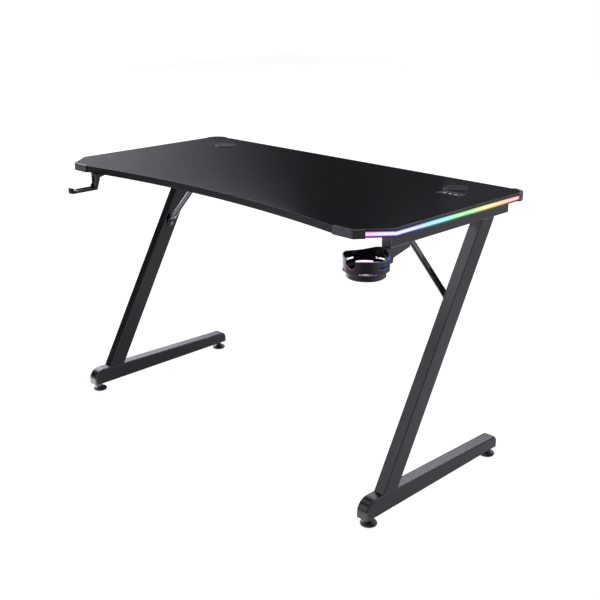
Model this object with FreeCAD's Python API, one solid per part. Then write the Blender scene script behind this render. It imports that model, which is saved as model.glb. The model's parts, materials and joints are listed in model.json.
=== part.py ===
import FreeCAD, Part
import math
import os

Vector = FreeCAD.Vector

# Driving dimensions, in millimetres.
# The desk is drawn with the middle of the board over x = 0, y = 0 and the floor at z = 0.
# The user sits at the front, towards -Y, and +X is the user's right.

# Board
desk_width = 1200.0
desk_depth = 600.0
desk_height = 740.0
board_thickness = 18.0
corner_cut_x = 61.0
corner_cut_y = 74.0
front_flat_length = 62.0
front_hollow = 42.5
back_corner_radius = 38.0

# Corner guards
guard_wall = 2.2
guard_gap = 0.3
guard_front_leg = 59.0
guard_cut_leg = 27.0
guard_back_leg = 5.0
guard_nose_radius = 16.0
guard_top_lip = 1.0
guard_top_lip_reach = 4.0
guard_bottom_lip = 1.5
guard_bottom_lip_reach = 16.0
guard_screw_inset = 9.0

# Light strip on the right edge
strip_depth = 8.0
strip_web = 1.5
strip_top_lip = 2.6
strip_bottom_lip = 1.6
strip_end_gap = 0.3
diffuser_wall = 2.0
diffuser_clearance = 0.1
tape_thickness = 0.4
tape_height = 9.0
diode_side = 5.0
diode_height = 1.6
diode_pitch = 33.3

# Cable grommets
grommet_side_inset = 152.0
grommet_back_inset = 99.0
grommet_hole_radius = 30.0
grommet_clearance = 0.3
grommet_wall = 2.2
grommet_flange_radius = 33.5
grommet_flange_height = 1.4
grommet_ledge_width = 2.5
grommet_ledge_height = 2.0
cover_thickness = 3.0
cover_rib_depth = 2.5
cover_rib_width = 2.0

# Touch control
panel_side_inset = 121.0
panel_back_inset = 162.5
panel_width = 70.0
panel_depth = 35.0
panel_height = 1.8
panel_corner_radius = 3.0
panel_frame = 4.0
lens_thickness = 1.0
lens_clearance = 0.2
housing_width = 58.0
housing_depth = 23.0
housing_clearance = 0.3
housing_drop = 22.0
housing_wall = 2.0
housing_ear = 12.0
housing_ear_thickness = 2.5
control_board_thickness = 1.6
control_board_drop = 6.0
control_ledge = 3.0
inlet_width = 9.0
inlet_height = 11.0
inlet_length = 14.0
inlet_hole_radius = 2.75
inlet_hole_depth = 10.0
inlet_pin_radius = 1.0
inlet_clearance = 0.2

# Side frames
frame_side_inset = 18.0
tube_wall = 1.5
rail_width = 28.0
rail_height = 30.0
rail_corner_radius = 3.0
rail_front_inset = 79.0
rail_back_inset = 57.0
cap_plate = 3.0
cap_plug = 12.0
cap_clearance = 0.15
cap_plug_wall = 2.0
leg_width = 32.0
leg_depth = 48.0
leg_corner_radius = 2.5
leg_foot_inset = 87.5
leg_top_inset = 87.5
foot_width = 36.0
foot_side_overhang = 1.0
foot_front_inset = 21.0
foot_back_inset = 33.0
foot_front_height = 47.5
foot_back_height = 33.0
foot_clearance_height = 25.0
foot_wall = 2.0
foot_nose_radius = 34.0
foot_tail_radius = 18.0
foot_edge_radius = 5.0

# Levelling feet
pad_inset_front = 26.0
pad_inset_back = 20.0
pad_radius = 21.5
pad_rim = 5.0
pad_dome_radius = 14.5
pad_dome_height = 10.0
pad_hub_radius = 8.0
pad_hub_height = 17.0
pad_socket_floor = 8.0
stud_radius = 4.0
stud_fit = 0.05
stud_length = 45.0
stud_hex_across = 14.0
stud_hex_height = 7.5
stud_end_play = 0.1
nut_plate_thickness = 6.0
nut_plate_length = 36.0

# Braces between the legs and the board
brace_radius = 8.0
brace_wall = 1.5
brace_flat_width = 24.0
brace_flat_thickness = 3.0
brace_angle = 43.8
brace_bolt_drop = 226.0
brace_bend_above_bolt = 7.5
brace_flatten_length = 36.0
brace_top_tab = 28.0
brace_drain_radius = 2.0

# Cross beam
beam_leg_offset = 46.0
beam_depth = 25.0
beam_height = 28.0
beam_corner_radius = 3.0
beam_plate_thickness = 3.0
beam_plate_length = 62.0
beam_bolt_spacing = 44.0

# Fasteners
fastener_fit = 0.05
bolt_radius = 3.0
bolt_length = 16.0
bolt_head_across = 10.0
bolt_head_height = 4.0
nut_across = 10.0
nut_height = 5.0
screw_radius = 2.0
screw_length = 13.0
screw_head_across = 7.0
screw_head_height = 2.4
rail_screw_radius = 2.5
rail_screw_bite = 13.0
rail_screw_head_across = 9.0
rail_screw_head_height = 3.2
rail_screw_front_inset = 111.0
rail_screw_pitch = 120.0
rail_screw_back_inset = 23.0

# Headset hook
hook_side_inset = 157.5
hook_width = 24.5
hook_proud = 2.0
hook_drop = 44.0
hook_reach = 84.0
hook_arm_thickness = 7.5
hook_lip_height = 8.5
hook_lip_length = 8.0
hook_plate_length = 60.0
hook_plate_thickness = 4.5
hook_back_top = 12.0
hook_back_bottom = 2.0
hook_gusset_length = 50.0
hook_gusset_drop = 14.0
hook_gusset_width = 6.0
hook_groove_width = 12.0
hook_groove_depth = 2.6
hook_groove_start = 26.0
hook_corner_step = 5.0
hook_round = 3.0
hook_screw_spacing = 14.0
hook_screw_inset = 8.0

# Cup holder
cup_side_inset = 34.5
cup_front_inset = 15.0
cup_radius = 52.4
cup_step = 7.4
cup_wall = 2.4
cup_floor = 2.5
cup_floor_hole_radius = 14.0
cup_rim_drop = 6.0
cup_upper_height = 31.0
cup_lower_height = 17.0
cup_rim_wave = [-2.5, -0.5, 3.5, 9.0, 3.5, -1.0, 1.0, 4.0, 1.5, -2.0, -0.5, -0.5]
cup_notch_width = 26.0
cup_notch_depth = 20.0
cup_high_slot_drop = 17.5
cup_low_slot_drop = 28.0
cup_slot_height = 4.5
cup_high_slot_sweep = 32.0
cup_low_slot_sweep = 46.0
bracket_width = 26.0
bracket_plate = 4.0
bracket_wall = 3.0
bracket_length = 69.0
bracket_tip_height = 6.0
bracket_knee_length = 57.0
bracket_knee_drop = 24.0
bracket_root_drop = 36.0
bracket_bolt_inset = 14.0
bracket_bolt_spacing = 30.0

# Values that follow from the driving dimensions
half_width = desk_width / 2
half_depth = desk_depth / 2
board_under = desk_height - board_thickness
grommet_x = half_width - grommet_side_inset
grommet_y = half_depth - grommet_back_inset
panel_x = half_width - panel_side_inset
panel_y = half_depth - panel_back_inset
frame_outer_x = half_width - frame_side_inset
rail_x = frame_outer_x - rail_width / 2
rail_inner_x = frame_outer_x - rail_width
rail_under = board_under - rail_height
rail_front_y = -half_depth + rail_front_inset
rail_back_y = half_depth - rail_back_inset
leg_x = frame_outer_x - leg_width / 2
leg_inner_x = frame_outer_x - leg_width
leg_top_y = rail_back_y - leg_top_inset
foot_x = frame_outer_x + foot_side_overhang - foot_width / 2
foot_front_y = -half_depth + foot_front_inset
foot_back_y = half_depth - foot_back_inset
leg_foot_y = foot_front_y + leg_foot_inset
pad_front_y = foot_front_y + pad_inset_front
pad_back_y = foot_back_y - pad_inset_back
brace_bolt_z = board_under - brace_bolt_drop
beam_y = leg_top_y - beam_leg_offset
hook_x = -half_width + hook_side_inset
hook_front_y = -half_depth - hook_proud
cup_x = half_width - cup_side_inset
cup_y = -half_depth + cup_front_inset
cup_lower_radius = cup_radius - cup_step
cup_rim_z = rail_under - cup_rim_drop

# The corner of the whole model's box is worked out here, so that the finished pieces can be
# moved until the origin lies on the floor under the middle of that box.
left_reach = -half_width - guard_gap - guard_wall
right_reach = cup_x + cup_radius
front_reach = hook_front_y - hook_reach
back_reach = half_depth + guard_gap + guard_wall
to_origin = Vector(-(left_reach + right_reach) / 2, -(front_reach + back_reach) / 2, 0)


def box(x0, x1, y0, y1, z0, z1):
    """Box between two opposite corners."""
    return Part.makeBox(x1 - x0, y1 - y0, z1 - z0, Vector(x0, y0, z0))


def rod(radius, start, direction, length):
    """Cylinder from a point along a direction."""
    return Part.makeCylinder(radius, length, start, direction)


def plan_prism(points, z0, z1):
    """Upright prism over a polygon given as (x, y) points."""
    corners = [Vector(x, y, z0) for x, y in points]
    wire = Part.makePolygon(corners + corners[:1])
    return Part.Face(wire).extrude(Vector(0, 0, z1 - z0))


def side_prism(points, x0, x1):
    """Prism along X over a polygon given as (y, z) points."""
    corners = [Vector(x0, y, z) for y, z in points]
    wire = Part.makePolygon(corners + corners[:1])
    return Part.Face(wire).extrude(Vector(x1 - x0, 0, 0))


def hexagon(across, centre, direction, length):
    """Six-sided bar across its flats, from a point along a direction."""
    corner = across / math.sqrt(3)
    angles = [math.radians(60 * i) for i in range(6)]
    ring = [Vector(corner * math.cos(a), corner * math.sin(a), 0) for a in angles]
    bar = Part.Face(Part.makePolygon(ring + ring[:1])).extrude(Vector(0, 0, length))
    bar.Placement = FreeCAD.Placement(centre, FreeCAD.Rotation(Vector(0, 0, 1), direction))
    return bar


def edges_along(shape, direction):
    """Straight edges of a shape that run along a direction."""
    found = []
    for edge in shape.Edges:
        if not isinstance(edge.Curve, Part.Line):
            continue
        if abs(abs(edge.Curve.Direction.dot(direction)) - 1) < 1e-6:
            found.append(edge)
    return found


def rounded_bar(width, depth, length, radius):
    """Bar along Z, centred on its axis, with rounded long edges."""
    bar = box(-width / 2, width / 2, -depth / 2, depth / 2, 0, length)
    return bar.makeFillet(radius, edges_along(bar, Vector(0, 0, 1)))


def rounded_tube(width, depth, length, radius, wall):
    """Open tube along Z with rounded corners inside and out."""
    outer = rounded_bar(width, depth, length, radius)
    inner = rounded_bar(width - 2 * wall, depth - 2 * wall, length, max(radius - wall, wall / 2))
    return outer.cut(inner)


def mirrored(shape):
    """Copy of a shape on the other side of the desk."""
    return shape.mirror(Vector(0, 0, 0), Vector(1, 0, 0))


def group(shapes):
    """Several separate solids as one node."""
    return Part.makeCompound(shapes)


def front_arc_point(fraction):
    """Point on the hollow front edge; 0 is its left end and 1 its right end."""
    half_chord = half_width - corner_cut_x - front_flat_length
    radius = (half_chord ** 2 + front_hollow ** 2) / (2 * front_hollow)
    reach = math.asin(half_chord / radius)
    angle = (2 * fraction - 1) * reach
    return Vector(radius * math.sin(angle), -half_depth + front_hollow - radius * (1 - math.cos(angle)), 0)


def board_outline():
    """Closed outline of the board in plan, at z = 0."""
    x, y, r = half_width, half_depth, back_corner_radius
    diagonal = r * (1 - math.sqrt(0.5))
    start, middle, end = [front_arc_point(f) for f in (0.0, 0.5, 1.0)]
    front_right = Vector(x - corner_cut_x, -y, 0)
    side_right = Vector(x, -y + corner_cut_y, 0)
    front_left = Vector(-front_right.x, front_right.y, 0)
    side_left = Vector(-side_right.x, side_right.y, 0)
    right_top = Vector(x, y - r, 0)
    back_right = Vector(x - r, y, 0)
    back_left = Vector(r - x, y, 0)
    left_top = Vector(-x, y - r, 0)
    edges = [
        Part.Arc(start, middle, end).toShape(),
        Part.makeLine(end, front_right),
        Part.makeLine(front_right, side_right),
        Part.makeLine(side_right, right_top),
        Part.Arc(right_top, Vector(x - diagonal, y - diagonal, 0), back_right).toShape(),
        Part.makeLine(back_right, back_left),
        Part.Arc(back_left, Vector(diagonal - x, y - diagonal, 0), left_top).toShape(),
        Part.makeLine(left_top, side_left),
        Part.makeLine(side_left, front_left),
        Part.makeLine(front_left, start),
    ]
    return Part.Wire(edges)


def cut_direction():
    """Unit vector along the right front corner cut, from the front edge to the side."""
    return Vector(corner_cut_x, corner_cut_y, 0).normalize()


def cut_normal():
    """Unit vector that points out of the right front corner cut."""
    along = cut_direction()
    return Vector(along.y, -along.x, 0)


def strip_path(inset):
    """Start, bend and end of a line that runs a given distance inside the right edge."""
    along = cut_direction()
    normal = cut_normal()
    front_right = Vector(half_width - corner_cut_x, -half_depth, 0)
    start = front_right + along * (guard_cut_leg + strip_end_gap) - normal * inset
    end_y = half_depth - back_corner_radius - guard_back_leg - strip_end_gap
    side_x = half_width - inset
    bend = start + along * ((side_x - start.x) / along.x)
    return [start, bend, Vector(side_x, end_y, 0)]


def strip_band(inset_out, inset_in, z0, z1):
    """Solid band along the right edge between two distances inside it."""
    outer = strip_path(inset_out)
    inner = strip_path(inset_in)
    points = outer + inner[::-1]
    return plan_prism([(p.x, p.y) for p in points], z0, z1)


def strip_mouth():
    """Lower and upper height of the opening in the light channel."""
    return board_under + strip_bottom_lip, desk_height - strip_top_lip


def hex_screw(seat, way, radius, length, across, head):
    """Hexagon head screw whose head sits at a point and whose shank goes one way."""
    shank = rod(radius, seat, way, length)
    cap = hexagon(across, seat - way * head, way, head)
    return shank.fuse(cap).removeSplitter()


def wood_screw(tip):
    """Screw into the board from below, given the point where it ends."""
    seat = tip - Vector(0, 0, screw_length)
    return hex_screw(seat, Vector(0, 0, 1), screw_radius, screw_length, screw_head_across, screw_head_height)


def screw_seat(x, y, plate):
    """Tip of a board screw driven up through a plate of a given thickness under the board."""
    return Vector(x, y, board_under - plate + screw_length)


def screw_hole(tip):
    """Hole for a board screw, from under its head to its tip."""
    below = tip - Vector(0, 0, screw_length)
    return rod(screw_radius + fastener_fit, below, Vector(0, 0, 1), screw_length)


def frame_bolt(seat, inward):
    """Bolt whose head sits on a face and whose shank goes inward."""
    return hex_screw(seat, inward, bolt_radius, bolt_length, bolt_head_across, bolt_head_height)


def bolt_hole(seat, inward):
    """Clearance for a frame bolt's shank."""
    return rod(bolt_radius + fastener_fit, seat, inward, bolt_length)


def weld_nut(seat, inward, grip):
    """Nut behind a bolted stack of a given thickness."""
    face = seat + inward * grip
    nut = hexagon(nut_across, face, inward, nut_height)
    return nut.cut(rod(bolt_radius + fastener_fit, face, inward, nut_height))


def brace_bolt_seat():
    """Point under the head of the right brace's bolt, and the way the bolt goes in."""
    y = leg_foot_y + (brace_bolt_z - foot_top(leg_foot_y)) * leg_slope()
    return Vector(leg_inner_x - brace_flat_thickness, y, brace_bolt_z), Vector(1, 0, 0)


def beam_bolt_seats():
    """Points under the heads of the right beam plate's bolts."""
    x = rail_inner_x - beam_plate_thickness
    z = board_under - beam_height / 2
    offsets = (-beam_bolt_spacing / 2, beam_bolt_spacing / 2)
    return [(Vector(x, beam_y + d, z), Vector(1, 0, 0)) for d in offsets]


def bracket_bolt_seats():
    """Points under the heads of the cup holder's bolts."""
    back = rail_front_y + bracket_length - bracket_bolt_inset
    ys = (back - bracket_bolt_spacing, back)
    return [(Vector(rail_x, y, rail_under - bracket_plate), Vector(0, 0, 1)) for y in ys]


def frame_bolts():
    """Seat, direction and clamped thickness of every frame bolt."""
    right = [brace_bolt_seat() + (brace_flat_thickness + tube_wall,)]
    right += [seat + (beam_plate_thickness + tube_wall,) for seat in beam_bolt_seats()]
    left = [(Vector(-s.x, s.y, s.z), Vector(-d.x, d.y, d.z), g) for s, d, g in right]
    cup = [seat + (bracket_plate + tube_wall,) for seat in bracket_bolt_seats()]
    return right + left + cup


def rail_screw(x, y):
    """Long screw through a top rail into the board."""
    seat = Vector(x, y, rail_under)
    length = rail_height + rail_screw_bite
    up = Vector(0, 0, 1)
    return hex_screw(seat, up, rail_screw_radius, length, rail_screw_head_across, rail_screw_head_height)


def rail_screw_hole(x, y):
    """Clearance for a long screw through a top rail."""
    start = Vector(x, y, rail_under)
    return rod(rail_screw_radius + fastener_fit, start, Vector(0, 0, 1), rail_height + rail_screw_bite)


def rail_screw_ys():
    """Places of the long screws along a top rail."""
    first = rail_front_y + rail_screw_front_inset
    return [first, first + rail_screw_pitch, rail_back_y - rail_screw_back_inset]


def rail_screw_places():
    """Plan positions of the long screws."""
    return [(side * rail_x, y) for side in (-1, 1) for y in rail_screw_ys()]


def front_guard_screw():
    """Tip of the screw in the right front guard's bottom lip."""
    corner = Vector(half_width - corner_cut_x, -half_depth, 0)
    inward = (Vector(0, 1, 0) - cut_normal()).normalize()
    place = corner + inward * guard_screw_inset
    return screw_seat(place.x, place.y, guard_bottom_lip)


def back_guard_screw():
    """Tip of the screw in the right back guard's bottom lip."""
    reach = (back_corner_radius - guard_screw_inset) * math.sqrt(0.5)
    centre_x = half_width - back_corner_radius
    centre_y = half_depth - back_corner_radius
    return screw_seat(centre_x + reach, centre_y + reach, guard_bottom_lip)


def guard_screws():
    """Tips of all the guard screws, on both sides."""
    right = [front_guard_screw(), back_guard_screw()]
    return right + [Vector(-t.x, t.y, t.z) for t in right]


def hook_screws():
    """Tips of the headset hook's screws."""
    y = hook_front_y + hook_plate_length - hook_screw_inset
    xs = (hook_x - hook_screw_spacing / 2, hook_x + hook_screw_spacing / 2)
    return [screw_seat(x, y, hook_plate_thickness) for x in xs]


def brace_screws():
    """Tips of the screws in the braces' upper tabs."""
    x, y = brace_top_hole()
    return [screw_seat(side * x, y, brace_flat_thickness) for side in (-1, 1)]


def housing_screws():
    """Tips of the control housing's screws."""
    reach = housing_width / 2 + housing_clearance + housing_ear / 2
    return [screw_seat(panel_x + side * reach, panel_y, housing_ear_thickness) for side in (-1, 1)]


def make_board():
    """Desktop board with its holes, the seat of the light channel and the screw holes."""
    board = Part.Face(board_outline()).extrude(Vector(0, 0, board_thickness))
    board.translate(Vector(0, 0, board_under))
    cuts = [strip_band(-strip_depth, strip_depth, board_under, desk_height)]
    for side in (-1, 1):
        start = Vector(side * grommet_x, grommet_y, board_under)
        cuts.append(rod(grommet_hole_radius, start, Vector(0, 0, 1), board_thickness))
    dx = housing_width / 2 + housing_clearance
    dy = housing_depth / 2 + housing_clearance
    cuts.append(box(panel_x - dx, panel_x + dx, panel_y - dy, panel_y + dy, board_under, desk_height))
    for tip in guard_screws() + hook_screws() + brace_screws() + housing_screws():
        cuts.append(screw_hole(tip))
    cuts += [rail_screw_hole(x, y) for x, y in rail_screw_places()]
    return board.cut(cuts)


def guard_path(offset):
    """Corners of the right front guard's line at a distance outside the board."""
    corner = Vector(half_width - corner_cut_x, -half_depth, 0)
    along = cut_direction()
    normal = cut_normal()
    start = Vector(corner.x - guard_front_leg, corner.y - offset, 0)
    end = corner + along * guard_cut_leg + normal * offset
    bend = end + along * ((start.y - end.y) / along.y)
    return [start, bend, end]


def guard_band(outside, inside, z0, z1):
    """Solid band along the right front guard between two distances outside the board."""
    points = guard_path(outside) + guard_path(inside)[::-1]
    return plan_prism([(p.x, p.y) for p in points], z0, z1)


def make_front_guard():
    """Right front corner guard: a wall with a lip over and under the board."""
    top = desk_height + guard_top_lip
    bottom = board_under - guard_bottom_lip
    outside = guard_gap + guard_wall
    wall = guard_band(outside, guard_gap, bottom, top)
    bend = guard_path(outside)[1]
    nose = [e for e in edges_along(wall, Vector(0, 0, 1)) if abs(e.Vertexes[0].X - bend.x) < 1e-3]
    wall = wall.makeFillet(guard_nose_radius, nose)
    over = guard_band(guard_gap, -guard_top_lip_reach, desk_height, top)
    under = guard_band(guard_gap, -guard_bottom_lip_reach, bottom, board_under)
    guard = wall.fuse([over, under]).removeSplitter()
    return guard.cut(screw_hole(front_guard_screw()))


def make_back_guard():
    """Right back corner guard: a quarter-round wall with lips."""
    top = desk_height + guard_top_lip
    bottom = board_under - guard_bottom_lip
    radius = back_corner_radius
    centre = Vector(half_width - radius, half_depth - radius, 0)

    def sector(r, z0, z1):
        """Quarter disc about the corner's centre, with a short straight part at each end."""
        quarter = Part.makeCylinder(r, z1 - z0, centre + Vector(0, 0, z0), Vector(0, 0, 1), 90)
        side = box(centre.x, centre.x + r, centre.y - guard_back_leg, centre.y, z0, z1)
        back = box(centre.x - guard_back_leg, centre.x, centre.y, centre.y + r, z0, z1)
        return quarter.fuse([side, back]).removeSplitter()

    outside = radius + guard_gap + guard_wall
    shell = sector(outside, bottom, top).cut(sector(radius + guard_gap, board_under, desk_height))
    shell = shell.cut(sector(radius - guard_top_lip_reach, desk_height, top))
    shell = shell.cut(sector(radius - guard_bottom_lip_reach, bottom, board_under))
    inner_leg = box(centre.x - guard_back_leg, centre.x, centre.y - guard_back_leg, centre.y, bottom, top)
    shell = shell.cut(inner_leg)
    return shell.cut(screw_hole(back_guard_screw()))


def make_strip_channel():
    """Channel of the light strip, open along its outer side."""
    low, high = strip_mouth()
    body = strip_band(0, strip_depth, board_under, desk_height)
    return body.cut(strip_band(-strip_web, strip_depth - strip_web, low, high))


def make_diffuser():
    """Opal strip that closes the channel's mouth."""
    low, high = strip_mouth()
    return strip_band(0, diffuser_wall, low + diffuser_clearance, high - diffuser_clearance)


def make_tape():
    """Light tape on the channel's back."""
    low, high = strip_mouth()
    middle = (low + high) / 2
    inner = strip_depth - strip_web
    return strip_band(inner - tape_thickness, inner, middle - tape_height / 2, middle + tape_height / 2)


def make_diodes():
    """Row of light diodes on the tape."""
    low, high = strip_mouth()
    middle = (low + high) / 2
    start, bend, end = strip_path(strip_depth - strip_web - tape_thickness)
    diodes = []
    for a, b in ((start, bend), (bend, end)):
        along = (b - a).normalize()
        out = Vector(along.y, -along.x, 0)
        count = int((b - a).Length // diode_pitch)
        first = ((b - a).Length - (count - 1) * diode_pitch) / 2
        for i in range(count):
            block = box(-diode_side / 2, diode_side / 2, 0, diode_height, -diode_side / 2, diode_side / 2)
            turn = FreeCAD.Rotation(Vector(0, 1, 0), out)
            place = a + along * (first + i * diode_pitch) + Vector(0, 0, middle)
            block.Placement = FreeCAD.Placement(place, turn)
            diodes.append(block)
    return group(diodes)


def make_grommet_sleeve(side):
    """Flanged sleeve in a cable hole, with an inner ledge for the cover."""
    centre = Vector(side * grommet_x, grommet_y, 0)
    outer = grommet_hole_radius - grommet_clearance
    inner = outer - grommet_wall
    ledge_top = desk_height + grommet_flange_height - cover_thickness
    profile = [
        (inner, board_under),
        (outer, board_under),
        (outer, desk_height),
        (grommet_flange_radius, desk_height),
        (grommet_flange_radius, desk_height + grommet_flange_height / 2),
        (grommet_flange_radius - grommet_flange_height / 2, desk_height + grommet_flange_height),
        (inner, desk_height + grommet_flange_height),
        (inner, ledge_top),
        (inner - grommet_ledge_width, ledge_top),
        (inner - grommet_ledge_width, ledge_top - grommet_ledge_height),
        (inner, ledge_top - 2 * grommet_ledge_height),
    ]
    return revolved(profile, centre)


def revolved(profile, centre):
    """Solid of revolution about an upright axis from (radius, height) points."""
    points = [centre + Vector(r, 0, z) for r, z in profile]
    face = Part.Face(Part.makePolygon(points + points[:1]))
    return face.revolve(centre, Vector(0, 0, 1), 360)


def make_grommet_cover(side):
    """Loose round cover with a stiffening ring below."""
    centre = Vector(side * grommet_x, grommet_y, 0)
    radius = grommet_hole_radius - 2 * grommet_clearance - grommet_wall
    top = desk_height + grommet_flange_height
    under = top - cover_thickness
    ring_out = radius - grommet_ledge_width - grommet_clearance
    ring_in = ring_out - cover_rib_width
    profile = [
        (0, top),
        (radius - grommet_clearance, top),
        (radius, top - grommet_clearance),
        (radius, under),
        (ring_out, under),
        (ring_out, under - cover_rib_depth),
        (ring_in, under - cover_rib_depth),
        (ring_in, under),
        (0, under),
    ]
    return revolved(profile, centre)


def panel_block(width, depth, z0, z1, radius):
    """Rounded block centred on the touch panel."""
    block = rounded_bar(width, depth, z1 - z0, radius)
    block.translate(Vector(panel_x, panel_y, z0))
    return block


def lens_size():
    """Width and depth of the recess that holds the touch lens."""
    return panel_width - 2 * panel_frame, panel_depth - 2 * panel_frame


def make_bezel():
    """Frame of the touch panel on top of the board."""
    top = desk_height + panel_height
    width, depth = lens_size()
    plate = panel_block(panel_width, panel_depth, desk_height, top, panel_corner_radius)
    rim = [e for e in plate.Edges if abs(e.BoundBox.ZMin - top) < 1e-6]
    plate = plate.makeChamfer(panel_height / 3, rim)
    plate = plate.cut(panel_block(width, depth, top - lens_thickness, top, panel_corner_radius / 2))
    window_x = width - 2 * panel_frame
    window_y = depth - 2 * panel_frame
    return plate.cut(panel_block(window_x, window_y, desk_height, top, panel_corner_radius / 2))


def make_lens():
    """Touch lens in the bezel."""
    top = desk_height + panel_height
    width, depth = lens_size()
    shrink = 2 * lens_clearance
    return panel_block(width - shrink, depth - shrink, top - lens_thickness, top, panel_corner_radius / 2)


def inlet_place():
    """Middle of the power inlet's mouth, in the housing's back wall."""
    bottom = board_under - housing_drop
    z = bottom + housing_wall + inlet_clearance + inlet_height / 2
    return Vector(panel_x, panel_y + housing_depth / 2, z)


def make_housing():
    """Open-topped housing of the light control, with ears below the board."""
    bottom = board_under - housing_drop
    half_x = housing_width / 2
    half_y = housing_depth / 2
    shell = box(panel_x - half_x, panel_x + half_x, panel_y - half_y, panel_y + half_y, bottom, desk_height)
    ear_x = half_x + housing_clearance + housing_ear
    ear_z = board_under - housing_ear_thickness
    ears = box(panel_x - ear_x, panel_x + ear_x, panel_y - half_y, panel_y + half_y, ear_z, board_under)
    ears = ears.makeFillet(housing_ear / 4, edges_along(ears, Vector(0, 0, 1)))
    shell = shell.fuse(ears).removeSplitter()
    inner_x = half_x - housing_wall
    inner_y = half_y - housing_wall
    floor = bottom + housing_wall
    shelf = desk_height - control_board_drop - control_board_thickness
    y0 = panel_y - inner_y
    y1 = panel_y + inner_y
    room = box(panel_x - inner_x, panel_x + inner_x, y0, y1, shelf, desk_height)
    low_x = inner_x - control_ledge
    well = box(panel_x - low_x, panel_x + low_x, y0, y1, floor, desk_height)
    mouth = inlet_place()
    gap_x = inlet_width / 2 + inlet_clearance
    gap_z = inlet_height / 2 + inlet_clearance
    gate_y = mouth.y - housing_wall
    gate = box(mouth.x - gap_x, mouth.x + gap_x, gate_y, mouth.y, mouth.z - gap_z, mouth.z + gap_z)
    shell = shell.cut([room, well, gate])
    return shell.cut([screw_hole(t) for t in housing_screws()])


def make_control_board():
    """Circuit board on the housing's end ledges."""
    half_x = housing_width / 2 - housing_wall - lens_clearance
    half_y = housing_depth / 2 - housing_wall - lens_clearance
    top = desk_height - control_board_drop
    under = top - control_board_thickness
    return box(panel_x - half_x, panel_x + half_x, panel_y - half_y, panel_y + half_y, under, top)


def make_inlet():
    """Power inlet with its round hole and centre pin, flush with the housing's back wall."""
    mouth = inlet_place()
    inward = Vector(0, -1, 0)
    body = box(
        mouth.x - inlet_width / 2,
        mouth.x + inlet_width / 2,
        mouth.y - inlet_length,
        mouth.y,
        mouth.z - inlet_height / 2 - inlet_clearance,
        mouth.z + inlet_height / 2,
    )
    body = body.cut(rod(inlet_hole_radius, mouth, inward, inlet_hole_depth))
    return body.fuse(rod(inlet_pin_radius, mouth, inward, inlet_hole_depth)).removeSplitter()


def make_rail(bolts):
    """Right top rail: an open tube under the board, with holes for its screws and bolts."""
    length = rail_back_y - rail_front_y - 2 * cap_plate
    tube = rounded_tube(rail_width, rail_height, length, rail_corner_radius, tube_wall)
    tube.rotate(Vector(0, 0, 0), Vector(1, 0, 0), -90)
    tube.translate(Vector(rail_x, rail_front_y + cap_plate, board_under - rail_height / 2))
    holes = [rail_screw_hole(rail_x, y) for y in rail_screw_ys()]
    holes += [bolt_hole(seat, way) for seat, way in bolts]
    return tube.cut(holes)


def make_cap(front):
    """Plug in one end of the right top rail."""
    plate = rounded_bar(rail_width, rail_height, cap_plate, rail_corner_radius)
    rim = [e for e in plate.Edges if abs(e.BoundBox.ZMax) < 1e-6]
    plate = plate.makeChamfer(cap_plate / 3, rim)
    shrink = 2 * (tube_wall + cap_clearance)
    plug = rounded_bar(rail_width - shrink, rail_height - shrink, cap_plug, rail_corner_radius - tube_wall)
    hollow_x = rail_width - shrink - 2 * cap_plug_wall
    hollow_y = rail_height - shrink - 2 * cap_plug_wall
    plug = plug.cut(box(-hollow_x / 2, hollow_x / 2, -hollow_y / 2, hollow_y / 2, 0, cap_plug))
    plug.translate(Vector(0, 0, cap_plate))
    cap = plate.fuse(plug).removeSplitter()
    cap.rotate(Vector(0, 0, 0), Vector(1, 0, 0), -90 if front else 90)
    y = rail_front_y if front else rail_back_y
    cap.translate(Vector(rail_x, y, board_under - rail_height / 2))
    return cap


def foot_top(y):
    """Height of the foot rail's sloping top at a place along it."""
    share = (y - foot_front_y) / (foot_back_y - foot_front_y)
    return foot_clearance_height + foot_front_height + share * (foot_back_height - foot_front_height)


def leg_slope():
    """Distance that the leg leans back for each unit of height."""
    return (leg_top_y - leg_foot_y) / (rail_under - foot_top(leg_foot_y))


def make_leg():
    """Right leg: a leaning tube cut to fit the foot rail and the top rail."""
    length = 1.5 * desk_height
    tube = rounded_tube(leg_width, leg_depth, length, leg_corner_radius, tube_wall)
    tube.translate(Vector(0, 0, -length / 4))
    tube.rotate(Vector(0, 0, 0), Vector(1, 0, 0), -math.degrees(math.atan(leg_slope())))
    tube.translate(Vector(leg_x, leg_foot_y, foot_top(leg_foot_y)))
    front = foot_front_y - desk_depth
    back = foot_back_y + desk_depth
    keep = side_prism(
        [(front, foot_top(front)), (back, foot_top(back)), (back, rail_under), (front, rail_under)],
        leg_x - leg_width,
        leg_x + leg_width,
    )
    leg = tube.common(keep)
    seat, way = brace_bolt_seat()
    return leg.cut(bolt_hole(seat, way))


def foot_block(inset, bottom, width):
    """Foot rail's outline, drawn in by a wall, as a block centred on the right foot."""
    front = foot_front_y + inset
    back = foot_back_y - inset
    block = side_prism(
        [(front, bottom), (back, bottom), (back, foot_top(back) - inset), (front, foot_top(front) - inset)],
        foot_x - width / 2,
        foot_x + width / 2,
    )
    across = Vector(1, 0, 0)
    nose = [e for e in edges_along(block, across) if e.Vertexes[0].Z > bottom + 1 and e.Vertexes[0].Y < 0]
    block = block.makeFillet(foot_nose_radius - inset, nose)
    tail = [e for e in edges_along(block, across) if e.Vertexes[0].Z > bottom + 1 and e.Vertexes[0].Y > 0]
    return block.makeFillet(foot_tail_radius - inset, tail)


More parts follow.
